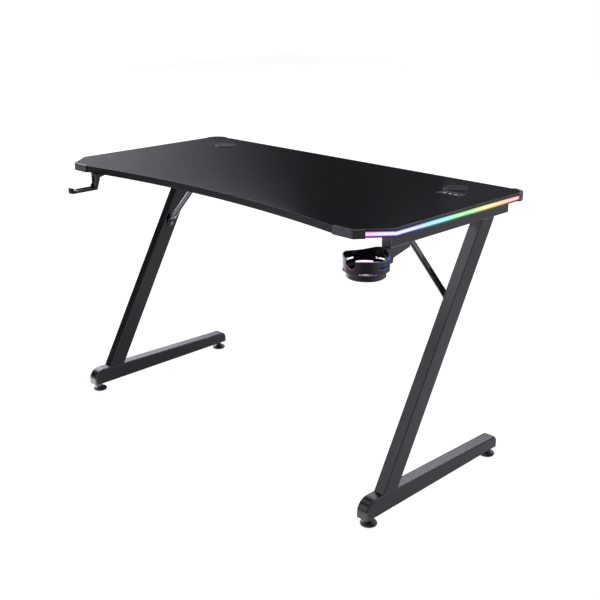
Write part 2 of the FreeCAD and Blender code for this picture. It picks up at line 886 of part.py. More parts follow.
def make_foot():
    """Right foot rail: a pressed shell, open below, with a round nose and soft long edges."""
    outer = foot_block(0, foot_clearance_height, foot_width)
    sides = (foot_x - foot_width / 2, foot_x + foot_width / 2)
    long_edges = []
    for edge in outer.Edges:
        flat = edge.BoundBox.XLength < 1e-6 and min(abs(edge.BoundBox.XMin - s) for s in sides) < 1e-6
        if flat and edge.BoundBox.ZMax > foot_clearance_height + 1:
            long_edges.append(edge)
    outer = outer.makeFillet(foot_edge_radius, long_edges)
    inner = foot_block(foot_wall, foot_clearance_height - foot_wall, foot_width - 2 * foot_wall)
    return outer.cut(inner)


def pad_places():
    """Plan positions of the four feet, by name."""
    return {
        "front_left": (-foot_x, pad_front_y),
        "front_right": (foot_x, pad_front_y),
        "back_left": (-foot_x, pad_back_y),
        "back_right": (foot_x, pad_back_y),
    }


def make_nut_plate(x, y):
    """Threaded plate in the bottom of a foot rail."""
    half_x = foot_width / 2 - foot_wall
    half_y = nut_plate_length / 2
    z0 = foot_clearance_height
    plate = box(x - half_x, x + half_x, y - half_y, y + half_y, z0, z0 + nut_plate_thickness)
    return plate.cut(rod(stud_radius + stud_fit, Vector(x, y, z0), Vector(0, 0, 1), nut_plate_thickness))


def make_pad(x, y):
    """Swivel pad with a domed top and a hub that holds the stud's end."""
    socket = stud_radius + stud_fit
    profile = [
        (0, 0),
        (pad_radius - pad_rim / 3, 0),
        (pad_radius, pad_rim / 3),
        (pad_radius, pad_rim),
        (pad_dome_radius, pad_dome_height),
        (pad_hub_radius, pad_dome_height + pad_rim),
        (pad_hub_radius, pad_hub_height),
        (socket, pad_hub_height),
        (socket, pad_socket_floor),
        (0, pad_socket_floor),
    ]
    return revolved(profile, Vector(x, y, 0))


def make_stud(x, y):
    """Threaded stud with its hexagon, screwed up to the nut plate."""
    up = Vector(0, 0, 1)
    start = Vector(x, y, pad_socket_floor + stud_end_play)
    shank = rod(stud_radius, start, up, stud_length)
    hex_z = foot_clearance_height - stud_end_play - stud_hex_height
    collar = hexagon(stud_hex_across, Vector(x, y, hex_z), up, stud_hex_height)
    return shank.fuse(collar).removeSplitter()


def brace_bends():
    """Lower and upper bend of the right brace's middle line, and the direction between them."""
    seat, _ = brace_bolt_seat()
    angle = math.radians(brace_angle)
    way = Vector(-math.sin(angle), 0, math.cos(angle))
    low = Vector(leg_inner_x - brace_flat_thickness / 2, seat.y, brace_bolt_z + brace_bend_above_bolt)
    rise = board_under - brace_flat_thickness / 2 - low.z
    return low, low + way * (rise / way.z), way


def brace_top_hole():
    """Plan position of the screw in the right brace's upper tab."""
    _, high, _ = brace_bends()
    return high.x - brace_top_tab + brace_flat_width / 2, high.y


def brace_section(centre, way, round_section):
    """Closed section of the brace across its direction, flat or round, in four edges."""
    across = Vector(0, 1, 0)
    normal = way.cross(across)
    if round_section:
        angles = [math.radians(a) for a in (-45, 45, 135, 225)]

        def at(angle):
            return centre + (across * math.cos(angle) + normal * math.sin(angle)) * brace_radius

        edges = []
        for i in range(4):
            a = angles[i]
            b = a + math.pi / 2
            edges.append(Part.Arc(at(a), at((a + b) / 2), at(b)).toShape())
        return Part.Wire(edges)
    signs = [(1, -1), (1, 1), (-1, 1), (-1, -1)]
    wide = across * (brace_flat_width / 2)
    thick = normal * (brace_flat_thickness / 2)
    corners = [centre + wide * a + thick * b for a, b in signs]
    return Part.makePolygon(corners + corners[:1])


def make_brace():
    """Right brace: a round tube with flattened, bent and drilled ends."""
    low, high, way = brace_bends()
    run = (high - low).Length
    round_low = low + way * brace_flatten_length
    round_high = high - way * brace_flatten_length
    round_run = run - 2 * brace_flatten_length
    ends = []
    for flat_end, round_end in ((low, round_low), (high, round_high)):
        sections = [brace_section(flat_end, way, False), brace_section(round_end, way, True)]
        ends.append(Part.makeLoft(sections, True, True))
    body = rod(brace_radius, round_low, way, round_run).fuse(ends)
    half = brace_flat_width / 2
    thick = brace_flat_thickness
    side = Vector(0, -1, 0)
    knees = [rod(thick / 2, p - side * half, side, brace_flat_width) for p in (low, high)]
    seat, inward = brace_bolt_seat()
    lower = box(seat.x, seat.x + thick, seat.y - half, seat.y + half, brace_bolt_z, low.z)
    lower = lower.fuse(rod(half, seat, inward, thick))
    tab_x, tab_y = brace_top_hole()
    under = board_under - thick
    upper = box(tab_x, high.x, tab_y - half, tab_y + half, under, board_under)
    upper = upper.fuse(rod(half, Vector(tab_x, tab_y, under), Vector(0, 0, 1), thick))
    brace = body.fuse(knees + [lower, upper]).removeSplitter()
    bore = rod(brace_radius - brace_wall, round_low, way, round_run)
    drain = rod(brace_drain_radius, round_low + way * brace_radius, Vector(0, 0, -1), 2 * brace_radius)
    tip = screw_seat(tab_x, tab_y, thick)
    return brace.cut([bore, drain, bolt_hole(seat, inward), screw_hole(tip)])


def make_beam():
    """Cross beam between the two beam plates."""
    half = rail_inner_x - beam_plate_thickness
    tube = rounded_tube(beam_height, beam_depth, 2 * half, beam_corner_radius, tube_wall)
    tube.rotate(Vector(0, 0, 0), Vector(0, 1, 0), 90)
    tube.translate(Vector(-half, beam_y, board_under - beam_height / 2))
    return tube


def make_beam_plate():
    """Right end plate of the cross beam, bolted to the rail."""
    x0 = rail_inner_x - beam_plate_thickness
    half = beam_plate_length / 2
    plate = box(x0, rail_inner_x, beam_y - half, beam_y + half, board_under - beam_height, board_under)
    plate = plate.makeFillet(beam_corner_radius, edges_along(plate, Vector(1, 0, 0)))
    return plate.cut([bolt_hole(seat, way) for seat, way in beam_bolt_seats()])


def hook_profile():
    """Side outline of the headset hook as (y, z) points, from the plate's front corner."""
    front = hook_front_y
    bottom = board_under - hook_drop
    arm_top = bottom + hook_arm_thickness
    tip = front - hook_reach
    lip_top = arm_top + hook_lip_height
    plate_under = board_under - hook_plate_thickness
    plate_back = front + hook_plate_length
    step = hook_corner_step
    return [
        (front, board_under),
        (front, arm_top + 2 * step),
        (front - step, arm_top + step),
        (front - step, arm_top),
        (tip + hook_lip_length + hook_round, arm_top),
        (tip + hook_lip_length, arm_top + hook_round),
        (tip + hook_lip_length, lip_top),
        (tip, lip_top),
        (tip, bottom),
        (front + hook_back_bottom, bottom),
        (front + hook_back_top, board_under - hook_gusset_drop),
        (front + hook_gusset_length, plate_under),
        (plate_back, plate_under),
        (plate_back, board_under),
    ]


def make_hook():
    """Headset hook: grooved arm with a turned-up tip, a web behind it and a screwed plate."""
    x0 = hook_x - hook_width / 2
    x1 = hook_x + hook_width / 2
    hook = side_prism(hook_profile(), x0, x1)
    bottom = board_under - hook_drop
    arm_top = bottom + hook_arm_thickness
    lip_top = arm_top + hook_lip_height
    tip = hook_front_y - hook_reach
    soft = []
    for edge in edges_along(hook, Vector(1, 0, 0)):
        point = edge.Vertexes[0]
        at_tip = abs(point.Y - tip) < 1e-3
        at_heel = abs(point.Z - bottom) < 1e-3
        lip_back = abs(point.Y - tip - hook_lip_length) < 1e-3 and point.Z > lip_top - 1
        if at_tip or at_heel or lip_back:
            soft.append(edge)
    hook = hook.makeFillet(hook_round, soft)
    groove_0 = hook_x - hook_groove_width / 2
    groove_1 = hook_x + hook_groove_width / 2
    groove_back = hook_front_y + hook_groove_depth
    plate_under = board_under - hook_plate_thickness
    upright = box(groove_0, groove_1, hook_front_y, groove_back, arm_top, plate_under)
    groove_front = tip + hook_groove_start
    along = box(groove_0, groove_1, groove_front, groove_back, arm_top - hook_groove_depth, lip_top)
    cheek = (hook_width - hook_gusset_width) / 2
    behind = side_prism(
        [
            (hook_front_y + hook_back_bottom, bottom),
            (hook_front_y + hook_back_top, board_under - hook_gusset_drop),
            (hook_front_y + hook_back_top, plate_under),
            (hook_front_y + hook_plate_length, plate_under),
            (hook_front_y + hook_plate_length, bottom),
        ],
        x0,
        x0 + cheek,
    )
    other = behind.copy()
    other.translate(Vector(hook_width - cheek, 0, 0))
    hook = hook.cut([upright, along, behind, other] + [screw_hole(t) for t in hook_screws()])
    return hook.common(hook_plan())


def hook_plan():
    """Plan of the hook with a round tip, as a solid as tall as the hook."""
    half = hook_width / 2
    low = board_under - hook_drop
    tip_centre = hook_front_y - hook_reach + half
    back = hook_front_y + hook_plate_length
    block = box(hook_x - half, hook_x + half, tip_centre, back, low, board_under)
    end = rod(half, Vector(hook_x, tip_centre, low), Vector(0, 0, 1), hook_drop)
    return block.fuse(end).removeSplitter()


def cup_rim_height(index):
    """Height of the cup holder's rim at one of the evenly spaced points around it."""
    return cup_rim_z + cup_rim_wave[index % len(cup_rim_wave)]


def cup_rim_cutter():
    """Solid above the cup holder's wavy rim."""
    curves = []
    for radius in (cup_lower_radius - cup_wall, cup_radius + cup_wall):
        points = []
        for i in range(len(cup_rim_wave)):
            angle = 2 * math.pi * i / len(cup_rim_wave)
            out = Vector(math.cos(angle), math.sin(angle), 0)
            points.append(Vector(cup_x, cup_y, cup_rim_height(i)) + out * radius)
        curve = Part.BSplineCurve()
        curve.interpolate(Points=points, PeriodicFlag=True)
        curves.append(curve.toShape())
    return Part.makeRuledSurface(curves[0], curves[1]).extrude(Vector(0, 0, cup_upper_height))


def cup_slot(middle, sweep, drop):
    """Slot through the cup holder's upper wall, a sector about the cup's axis."""
    start = Vector(cup_x, cup_y, cup_rim_z - drop - cup_slot_height / 2)
    outer = Part.makeCylinder(cup_radius + cup_wall, cup_slot_height, start, Vector(0, 0, 1), sweep)
    inner = Part.makeCylinder(cup_lower_radius - cup_wall, cup_slot_height, start, Vector(0, 0, 1))
    slot = outer.cut(inner)
    slot.rotate(start, Vector(0, 0, 1), middle - sweep / 2)
    return slot


def make_cup_ring():
    """Stepped cup with a wavy rim, vent slots and a drained floor."""
    step = cup_rim_z - cup_upper_height
    bottom = step - cup_lower_height
    tallest = cup_rim_z + max(cup_rim_wave) + cup_wall
    profile = [
        (cup_floor_hole_radius, bottom),
        (cup_lower_radius - cup_floor, bottom),
        (cup_lower_radius, bottom + cup_floor),
        (cup_lower_radius, step - cup_floor),
        (cup_radius, step),
        (cup_radius, tallest),
        (cup_radius - cup_wall, tallest),
        (cup_radius - cup_wall, step + cup_floor),
        (cup_lower_radius - cup_wall, step),
        (cup_lower_radius - cup_wall, bottom + cup_floor),
        (cup_floor_hole_radius, bottom + cup_floor),
    ]
    ring = revolved(profile, Vector(cup_x, cup_y, 0))
    slots = [cup_slot(a, cup_high_slot_sweep, cup_high_slot_drop) for a in (0, 90, 180)]
    slots += [cup_slot(a, cup_low_slot_sweep, cup_low_slot_drop) for a in (45, 135, 225, 315)]
    half = cup_notch_width / 2
    floor = cup_rim_z - cup_notch_depth + half
    front = cup_y - cup_radius - cup_wall
    notch = box(cup_x - half, cup_x + half, front, cup_y, floor, tallest)
    notch = notch.fuse(rod(half, Vector(cup_x, front, floor), Vector(0, 1, 0), cup_radius + cup_wall))
    return ring.cut(slots + [notch, cup_rim_cutter()])


def make_cup_bracket():
    """Hollow arm of the cup holder below the rail, open below, with a deeper web on its outer side."""
    corner_x = abs(rail_x - cup_x) + bracket_width / 2
    front = cup_y + math.sqrt((cup_radius - cup_wall / 2) ** 2 - corner_x ** 2)
    back = rail_front_y + bracket_length
    plate_under = rail_under - bracket_plate
    outline = [
        (front, rail_under),
        (back, rail_under),
        (back, plate_under - bracket_tip_height),
        (back - bracket_knee_length, rail_under - bracket_knee_drop),
        (back - bracket_knee_length - bracket_wall, rail_under - bracket_root_drop),
        (front, rail_under - bracket_root_drop),
    ]
    x0 = rail_x - bracket_width / 2
    x1 = rail_x + bracket_width / 2
    arm = side_prism(outline, x0, x1)
    inside = side_prism(
        [
            (front, plate_under),
            (back - bracket_wall, plate_under),
            (back - bracket_wall, rail_under - bracket_root_drop),
            (front, rail_under - bracket_root_drop),
        ],
        x0 + bracket_wall,
        x1 - bracket_wall,
    )
    root = rail_under - bracket_root_drop
    knee = rail_under - bracket_knee_drop
    inner_web = box(x0, x0 + bracket_wall, front, back, root, knee)
    return arm.cut([inside, inner_web] + [bolt_hole(seat, way) for seat, way in bracket_bolt_seats()])


def make_cup_holder():
    """Cup holder: the stepped cup and its arm, moulded in one piece."""
    bottom = cup_rim_z - cup_upper_height - cup_lower_height
    height = rail_under - bottom + cup_rim_drop
    hollow = rod(cup_radius - cup_wall, Vector(cup_x, cup_y, bottom), Vector(0, 0, 1), height)
    arm = make_cup_bracket().cut(hollow)
    return make_cup_ring().fuse(arm).removeSplitter()


def build():
    """Every node of the desk by name."""
    leg = make_leg()
    foot = make_foot()
    brace = make_brace()
    plate = make_beam_plate()
    front_guard = make_front_guard()
    back_guard = make_back_guard()
    nodes = {
        "desktop_board": make_board(),
        "guard_front_right": front_guard,
        "guard_front_left": mirrored(front_guard),
        "guard_back_right": back_guard,
        "guard_back_left": mirrored(back_guard),
        "guard_screws": group([wood_screw(t) for t in guard_screws()]),
        "light_channel": make_strip_channel(),
        "light_tape": make_tape(),
        "light_diodes": make_diodes(),
        "light_diffuser": make_diffuser(),
        "control_bezel": make_bezel(),
        "control_lens": make_lens(),
        "control_board": make_control_board(),
        "control_housing": make_housing(),
        "control_inlet": make_inlet(),
        "control_screws": group([wood_screw(t) for t in housing_screws()]),
        "top_rail_right": make_rail(beam_bolt_seats() + bracket_bolt_seats()),
        "top_rail_left": mirrored(make_rail(beam_bolt_seats())),
        "leg_right": leg,
        "leg_left": mirrored(leg),
        "foot_rail_right": foot,
        "foot_rail_left": mirrored(foot),
        "foot_nut_plates": group([make_nut_plate(x, y) for x, y in pad_places().values()]),
        "brace_right": brace,
        "brace_left": mirrored(brace),
        "brace_screws": group([wood_screw(t) for t in brace_screws()]),
        "cross_beam": make_beam(),
        "beam_plate_right": plate,
        "beam_plate_left": mirrored(plate),
        "frame_bolts": group([frame_bolt(s, d) for s, d, _ in frame_bolts()]),
        "weld_nuts": group([weld_nut(s, d, g) for s, d, g in frame_bolts()]),
        "rail_screws": group([rail_screw(x, y) for x, y in rail_screw_places()]),
        "headset_hook": make_hook(),
        "hook_screws": group([wood_screw(t) for t in hook_screws()]),
        "cup_holder": make_cup_holder(),
    }
    for name, front in (("front", True), ("back", False)):
        cap = make_cap(front)
        nodes["rail_cap_" + name + "_right"] = cap
        nodes["rail_cap_" + name + "_left"] = mirrored(cap)
    for name, side in (("left", -1), ("right", 1)):
        nodes["grommet_sleeve_" + name] = make_grommet_sleeve(side)
        nodes["grommet_cover_" + name] = make_grommet_cover(side)
    for name, (x, y) in pad_places().items():
        nodes["foot_pad_" + name] = make_pad(x, y)
        nodes["foot_stud_" + name] = make_stud(x, y)
    return nodes


def main():
    """Move every node to the origin and write it."""
    os.makedirs("parts", exist_ok=True)
    for name, shape in build().items():
        shape.translate(to_origin)
        shape.exportStep("parts/" + name + ".step")


main()
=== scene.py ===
"""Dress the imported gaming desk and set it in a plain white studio.

All lengths are metres in the row frame: the floor is z = 0, +X is the user's right and +Y
points away from the user.
"""

from __future__ import annotations

import json
import logging
import math
from dataclasses import dataclass, replace
from enum import Enum
from functools import cached_property, partial, reduce
from typing import Union

import bpy
import numpy as np
from numpy.typing import NDArray
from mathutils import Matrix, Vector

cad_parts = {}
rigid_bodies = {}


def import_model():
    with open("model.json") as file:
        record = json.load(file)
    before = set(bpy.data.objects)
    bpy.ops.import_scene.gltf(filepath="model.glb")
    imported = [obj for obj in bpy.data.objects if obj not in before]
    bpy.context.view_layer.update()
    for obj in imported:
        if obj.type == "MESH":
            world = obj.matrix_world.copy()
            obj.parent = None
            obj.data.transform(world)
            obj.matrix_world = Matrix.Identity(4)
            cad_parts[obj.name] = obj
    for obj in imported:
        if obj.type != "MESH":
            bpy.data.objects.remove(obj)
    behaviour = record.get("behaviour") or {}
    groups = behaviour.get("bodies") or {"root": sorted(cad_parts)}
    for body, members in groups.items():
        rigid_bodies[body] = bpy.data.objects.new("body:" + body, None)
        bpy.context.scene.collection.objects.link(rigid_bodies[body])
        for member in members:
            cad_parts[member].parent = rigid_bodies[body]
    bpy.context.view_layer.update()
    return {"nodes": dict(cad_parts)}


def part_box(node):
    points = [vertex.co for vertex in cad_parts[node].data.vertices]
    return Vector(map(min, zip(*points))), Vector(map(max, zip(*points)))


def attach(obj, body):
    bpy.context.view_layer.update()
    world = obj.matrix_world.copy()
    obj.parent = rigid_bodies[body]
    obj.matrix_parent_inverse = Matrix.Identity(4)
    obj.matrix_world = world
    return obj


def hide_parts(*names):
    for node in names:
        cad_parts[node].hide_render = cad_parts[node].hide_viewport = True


LOG = logging.getLogger("desk")
MM = 0.001
FULL_TURN = 360.0

Array = NDArray[np.float64]
Colour = tuple[float, float, float]
Point = tuple[float, float, float]
Span = tuple[float, float]
Skin = tuple[Array, list[tuple[int, ...]]]
Material = bpy.types.Material
Node = bpy.types.Node
Outputs = bpy.types.NodeOutputs
Socket = bpy.types.NodeSocket
Thing = bpy.types.Object
Tree = bpy.types.NodeTree
Value = Union[Socket, float, Colour]

BLACK: Colour = (0.0, 0.0, 0.0)
WHITE: Colour = (1.0, 1.0, 1.0)
LAMP_TINT: Colour = (1.0, 0.97, 1.07)


class Side(str, Enum):
    """Left or right half of the desk, by the word in node names."""

    LEFT = "left"
    RIGHT = "right"


class Corner(str, Enum):
    """The four corners, by the words in node names."""

    FRONT_LEFT = "front_left"
    FRONT_RIGHT = "front_right"
    BACK_LEFT = "back_left"
    BACK_RIGHT = "back_right"


class Effect(Enum):
    """Surface effects that several materials share, each one node group."""

    GRAIN = "fine_grain"
    CLOUD = "slow_cloud"
    EDGE = "soft_edge"
    TWILL = "twill_weave"


class Hue(Enum):
    """Colours of the light strip from its front end to its back end.

    Each is linear red, green and blue, the share of white in the middle of the strip, and
    one or two places along y that have the colour.
    """

    MAGENTA = (0.85, 0.08, 0.7, 0.6, -0.23)
    VIOLET = (0.35, 0.1, 0.85, 0.72, -0.213)
    BLUE = (0.08, 0.08, 0.75, 0.74, -0.17, -0.135)
    SKY = (0.06, 0.25, 0.9, 0.62, -0.105)
    CYAN = (0.06, 0.7, 0.9, 0.42, -0.065)
    TEAL = (0.06, 0.85, 0.7, 0.42, -0.005)
    GREEN = (0.08, 0.8, 0.1, 0.46, 0.045, 0.085)
    LIME = (0.4, 0.85, 0.08, 0.46, 0.112)
    YELLOW = (0.9, 0.8, 0.08, 0.46, 0.158)
    AMBER = (0.9, 0.45, 0.06, 0.52, 0.222)
    ORANGE = (0.9, 0.22, 0.06, 0.56, 0.252)
    RED = (0.85, 0.06, 0.06, 0.6, 0.278)


def box_corners(node: str) -> tuple[Array, Array]:
    """Lowest and highest corner of a CAD node."""
    low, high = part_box(node)
    return np.array(low), np.array(high)


def link(name: str, data: bpy.types.ID) -> Thing:
    """Put new data into the scene.

    Args:
        name: Name of the new object.
        data: Its mesh, light or camera.

    Returns:
        The object, at the origin.
    """
    thing = bpy.data.objects.new(name, data)
    bpy.context.scene.collection.objects.link(thing)
    return thing


class Graph:
    """Adds and links the nodes of one shader tree."""

    mix_inputs = (0, 6, 7)
    mix_output = 2

    def __init__(self, tree: Tree) -> None:
        """Keep the tree that the nodes go into."""
        self.tree = tree

    def add(self, kind: str, **settings: object) -> Node:
        """Add a node.

        Args:
            kind: Blender's node type without its ShaderNode prefix.
            settings: Properties to set on the node.

        Returns:
            The new node.
        """
        node = self.tree.nodes.new("ShaderNode" + kind)
        for name, value in settings.items():
            setattr(node, name, value)
        return node

    def first(self, kind: str) -> Node:
        """The first node of a type that the tree already has."""
        return next(node for node in self.tree.nodes if node.type == kind)

    def feed(self, socket: Socket, value: Value) -> None:
        """Link an input to an output, or set it to a plain value.

        Args:
            socket: The input.
            value: An output socket, a number, a colour or a vector.
        """
        if isinstance(value, Socket):
            self.tree.links.new(value, socket)
        elif socket.type == "RGBA":
            socket.default_value = (*value, 1.0)
        else:
            socket.default_value = value

    def fill(self, node: Node, *values: Value, **named: Value) -> Outputs:
        """Feed the inputs of a node.

        Args:
            node: The node.
            values: Values of its first inputs, in order.
            named: Values of other inputs, by name.

        Returns:
            The node's outputs.
        """
        for socket, value in zip(node.inputs, values):
            self.feed(socket, value)
        for name, value in named.items():
            self.feed(node.inputs[name], value)
        return node.outputs

    def math(self, operation: str, *values: Value) -> Socket:
        """Result of a Math node on up to three values."""
        return self.fill(self.add("Math", operation=operation), *values)[0]

    def vector(self, operation: str, *values: Value) -> Outputs:
        """Vector and value that a Vector Math node makes of two vectors."""
        return self.fill(self.add("VectorMath", operation=operation), *values)

    def times(self, *values: Value) -> Value:
        """Product of one or more values."""
        return reduce(partial(self.math, "MULTIPLY"), values)

    def line(self, value: Value, slope: Value, start: Value) -> Socket:
        """Value times a slope, plus a start."""
        return self.math("MULTIPLY_ADD", value, slope, start)

    def blend(self, share: Value, first: Value, second: Value) -> Socket:
        """Value between two values, the second one at share 1."""
        return self.line(share, self.math("SUBTRACT", second, first), first)

    def ramp(self, value: Value, ends: Span, levels: Span = (0.0, 1.0)) -> Socket:
        """Smooth step of a value from the first end and level to the second."""
        node = self.add("MapRange", interpolation_type="SMOOTHSTEP")
        return self.fill(node, value, *ends, *levels)[0]

    def mix(self, share: Value, first: Value, second: Value) -> Socket:
        """Mix two colours.

        Args:
            share: Share of the second colour.
            first: Colour at share 0.
            second: Colour at share 1.

        Returns:
            The mixed colour.
        """
        node = self.add("Mix", data_type="RGBA")
        for index, value in zip(self.mix_inputs, (share, first, second)):
            self.feed(node.inputs[index], value)
        return node.outputs[self.mix_output]

    def shade(self, colour: Colour, factor: Value) -> Socket:
        """Colour made darker or lighter by a factor."""
        return self.fill(self.add("VectorMath", operation="SCALE"), colour, Scale=factor)[0]

    def place(self) -> Socket:
        """Object coordinates, which are metres in the row frame."""
        return self.add("TexCoord").outputs["Object"]

    def geometry(self, kind: str) -> Outputs:
        """The X, Y and Z of one of the surface's own vectors, such as its normal."""
        return self.split(self.add("NewGeometry").outputs[kind])

    def split(self, vector: Socket) -> Outputs:
        """The X, Y and Z of a vector."""
        return self.fill(self.add("SeparateXYZ"), vector)

    def noise(self, vector: Value, scale: Value, detail: float) -> Socket:
        """Noise value over a vector."""
        return self.fill(self.add("TexNoise"), Vector=vector, Scale=scale, Detail=detail)[0]

    def group(self, effect: Effect, **values: Value) -> Outputs:
        """Outputs of a shared effect, which is given its values by name."""
        node = self.add("Group", node_tree=getattr(EFFECTS, effect.name.lower()))
        return self.fill(node, **values)


class Shading(Graph):
    """Graph of a new material, which starts with a Principled shader."""

    def __init__(self, name: str) -> None:
        """Make the material.

        Args:
            name: Its name.
        """
        self.material = bpy.data.materials.new(name)
        self.material.use_nodes = True
        super().__init__(self.material.node_tree)

    def put(self, name: str, value: Value) -> None:
        """Feed an input of the shader by its name."""
        self.feed(self.first("BSDF_PRINCIPLED").inputs[name], value)


class Effects:
    """The shared effects, each built as one node group at its first use.

    The property of an effect has the effect's own name.
    """

    grain_detail = 3.0
    fleck_detail = 1.0
    fleck_fineness = 1.7
    fleck_range: Span = (0.62, 0.72)
    cloud_detail = 2.0
    edge_samples = 6
    edge_cosines: Span = (0.995, 0.8)

    @staticmethod
    def begin(effect: Effect, inputs: str, outputs: str) -> tuple[Graph, Outputs, bpy.types.NodeInputs]:
        """Open a new group.

        Args:
            effect: Which effect it holds.
            inputs: Names of its inputs.
            outputs: Names of its outputs.

        Returns:
            The graph, the group's inputs as outputs of a node, and its outputs.
        """
        tree = bpy.data.node_groups.new(effect.value, "ShaderNodeTree")
        for way, names in (("INPUT", inputs), ("OUTPUT", outputs)):
            for name in names.split():
                kind = "Vector" if name in ("Vector", "Normal") else "Float"
                tree.interface.new_socket(name=name, in_out=way, socket_type="NodeSocket" + kind)
        source = tree.nodes.new("NodeGroupInput")
        target = tree.nodes.new("NodeGroupOutput")
        return Graph(tree), source.outputs, target.inputs

    @cached_property
    def grain(self) -> Tree:
        """Fine grain of paint or moulded plastic: a height and scattered flecks.

        Returns:
            The node group.
        """
        graph, given, out = self.begin(Effect.GRAIN, "Vector Scale", "Height Fleck")
        finer = graph.times(given["Scale"], self.fleck_fineness)
        fleck = graph.ramp(graph.noise(given["Vector"], finer, self.fleck_detail), self.fleck_range)
        graph.feed(out["Height"], graph.noise(given["Vector"], given["Scale"], self.grain_detail))
        graph.feed(out["Fleck"], fleck)
        return graph.tree

    @cached_property
    def cloud(self) -> Tree:
        """Slow drift over a surface, from -1 to 1 about its middle.

        Returns:
            The node group.
        """
        graph, given, out = self.begin(Effect.CLOUD, "Vector Scale", "Drift")
        value = graph.noise(given["Vector"], given["Scale"], self.cloud_detail)
        graph.feed(out["Drift"], graph.line(value, 2.0, -1.0))
        return graph.tree

    @cached_property
    def edge(self) -> Tree:
        """Rounded normals along edges, and a mask of those edges.

        Returns:
            The node group.
        """
        graph, given, out = self.begin(Effect.EDGE, "Radius", "Normal Mask")
        bevel = graph.add("Bevel", samples=self.edge_samples)
        rounded = graph.fill(bevel, Radius=given["Radius"])[0]
        flat = graph.add("NewGeometry").outputs["Normal"]
        same = graph.vector("DOT_PRODUCT", rounded, flat)
        graph.feed(out["Normal"], rounded)
        graph.feed(out["Mask"], graph.ramp(same["Value"], self.edge_cosines))
        return graph.tree

    @cached_property
    def twill(self) -> Tree:
        """Two-by-two twill: which strand lies on top steps by one at each crossing.

        A crossing's number is the sum of its column and row. Where that sum modulo four is
        below two the strand along y is on top, and elsewhere the one along x. A strand's
        height is a half sine across its width.

        Returns:
            The node group.
        """
        graph, given, out = self.begin(Effect.TWILL, "Vector Pitch", "Height Upper")
        axes = graph.split(given["Vector"])
        cells = [graph.math("DIVIDE", axes[name], given["Pitch"]) for name in "XY"]
        whole = [graph.math("FLOOR", cell) for cell in cells]
        number = graph.math("FLOORED_MODULO", graph.math("ADD", *whole), 4.0)
        upper = graph.math("LESS_THAN", number, 2.0)
        arch = [graph.math("SINE", graph.times(graph.math("FRACT", cell), math.pi)) for cell in cells]
        graph.feed(out["Height"], graph.blend(upper, arch[1], arch[0]))
        graph.feed(out["Upper"], upper)
        return graph.tree


EFFECTS = Effects()


@dataclass(frozen=True)
class Finish:
    """Evenly coloured surface with grain, slow drift and softened edges that carry a painted highlight."""

    name: str
    colour: Colour
    roughness: float
    metallic: float = 0.0
    specular: float = 0.5
    grain_scale: float = 1500.0
    grain_depth: float = 0.03 * MM
    fleck: float = 0.25
    drift: float = 0.12
    drift_scale: float = 9.0
    rough_drift: float = 0.25
    edge_radius: float = 0.8 * MM
    # painted highlight: share by which the colour is lighter along edges
    edge_lift: float = 0.8
    coat: float = 0.0

    @cached_property
    def material(self) -> Material:
        """The finish as a material, with the values that are the same all over set first.

        Returns:
            The material, made at its first use.
        """
        graph = Shading(self.name)
        graph.put("Roughness", self.roughness)
        graph.put("Metallic", self.metallic)
        graph.put("Specular IOR Level", self.specular)
        graph.put("Coat Weight", self.coat)
        self.draw(graph)
        return graph.material

    def draw(self, graph: Shading) -> None:
        """Link what changes over the surface."""
        self.surface(graph)

    def grain(self, graph: Graph) -> Outputs:
        """Height and flecks of the finish's grain."""
        return graph.group(Effect.GRAIN, Vector=graph.place(), Scale=self.grain_scale)

    def cloud(self, graph: Graph) -> Socket:
        """Slow drift of the finish."""
        return graph.group(Effect.CLOUD, Vector=graph.place(), Scale=self.drift_scale)["Drift"]

    def edge(self, graph: Graph) -> Outputs:
        """Rounded normal and mask of the finish's edges."""
        return graph.group(Effect.EDGE, Radius=self.edge_radius)

    def surface(self, graph: Shading, lift: Value = 0.0) -> None:
        """Colour, with a painted highlight along its edges, roughness and relief of the plain surface.

        Args:
            graph: The material's graph.
            lift: Share by which places are lighter than the colour, as a painted highlight.
        """
        grain, cloud, edge = self.grain(graph), self.cloud(graph), self.edge(graph)
        tone = graph.line(cloud, self.drift, 1.0)
        tone = graph.line(grain["Fleck"], self.fleck, tone)
        # painted highlight: the colour is lighter along the edge mask
        tone = graph.line(edge["Mask"], self.edge_lift, tone)
        graph.put("Base Color", graph.shade(self.colour, graph.math("ADD", tone, lift)))
        graph.put("Roughness", graph.line(cloud, self.rough_drift * self.drift, self.roughness))
        self.relief(graph, grain["Height"], edge["Normal"])

    def relief(self, graph: Shading, height: Socket, normal: Socket) -> None:
        """Bump the shader's normal, from the one that is given, by a height from 0 to 1."""
        bump = graph.fill(graph.add("Bump"), Distance=self.grain_depth, Height=height, Normal=normal)
        graph.put("Normal", bump[0])


@dataclass(frozen=True)
class GlowPaintedBelow(Finish):
    """Finish whose underside on the right has a painted glow, seen only where a glossy surface mirrors it.
    """

    # painted glow: strength of the underside's emission, seen only in glossy reflections
    below_glow: float = 1.5
    below_x: Span = (0.2, 0.32)
    below_facing: Span = (-0.5, -0.7)

    def light_below(self, graph: Shading, upward: Socket) -> None:
        """Paint a glow on the underside, which only glossy rays see.

        Args:
            graph: The material's graph.
            upward: Upward part of the normal.
        """
        right = graph.ramp(graph.split(graph.place())["X"], self.below_x)
        mirrored = graph.add("LightPath").outputs["Is Glossy Ray"]
        lit = graph.times(graph.ramp(upward, self.below_facing), right, mirrored)
        # painted glow, not a lamp: the underside glows only for glossy rays
        graph.put("Emission Color", LAMP_TINT)
        graph.put("Emission Strength", graph.times(lit, self.below_glow))


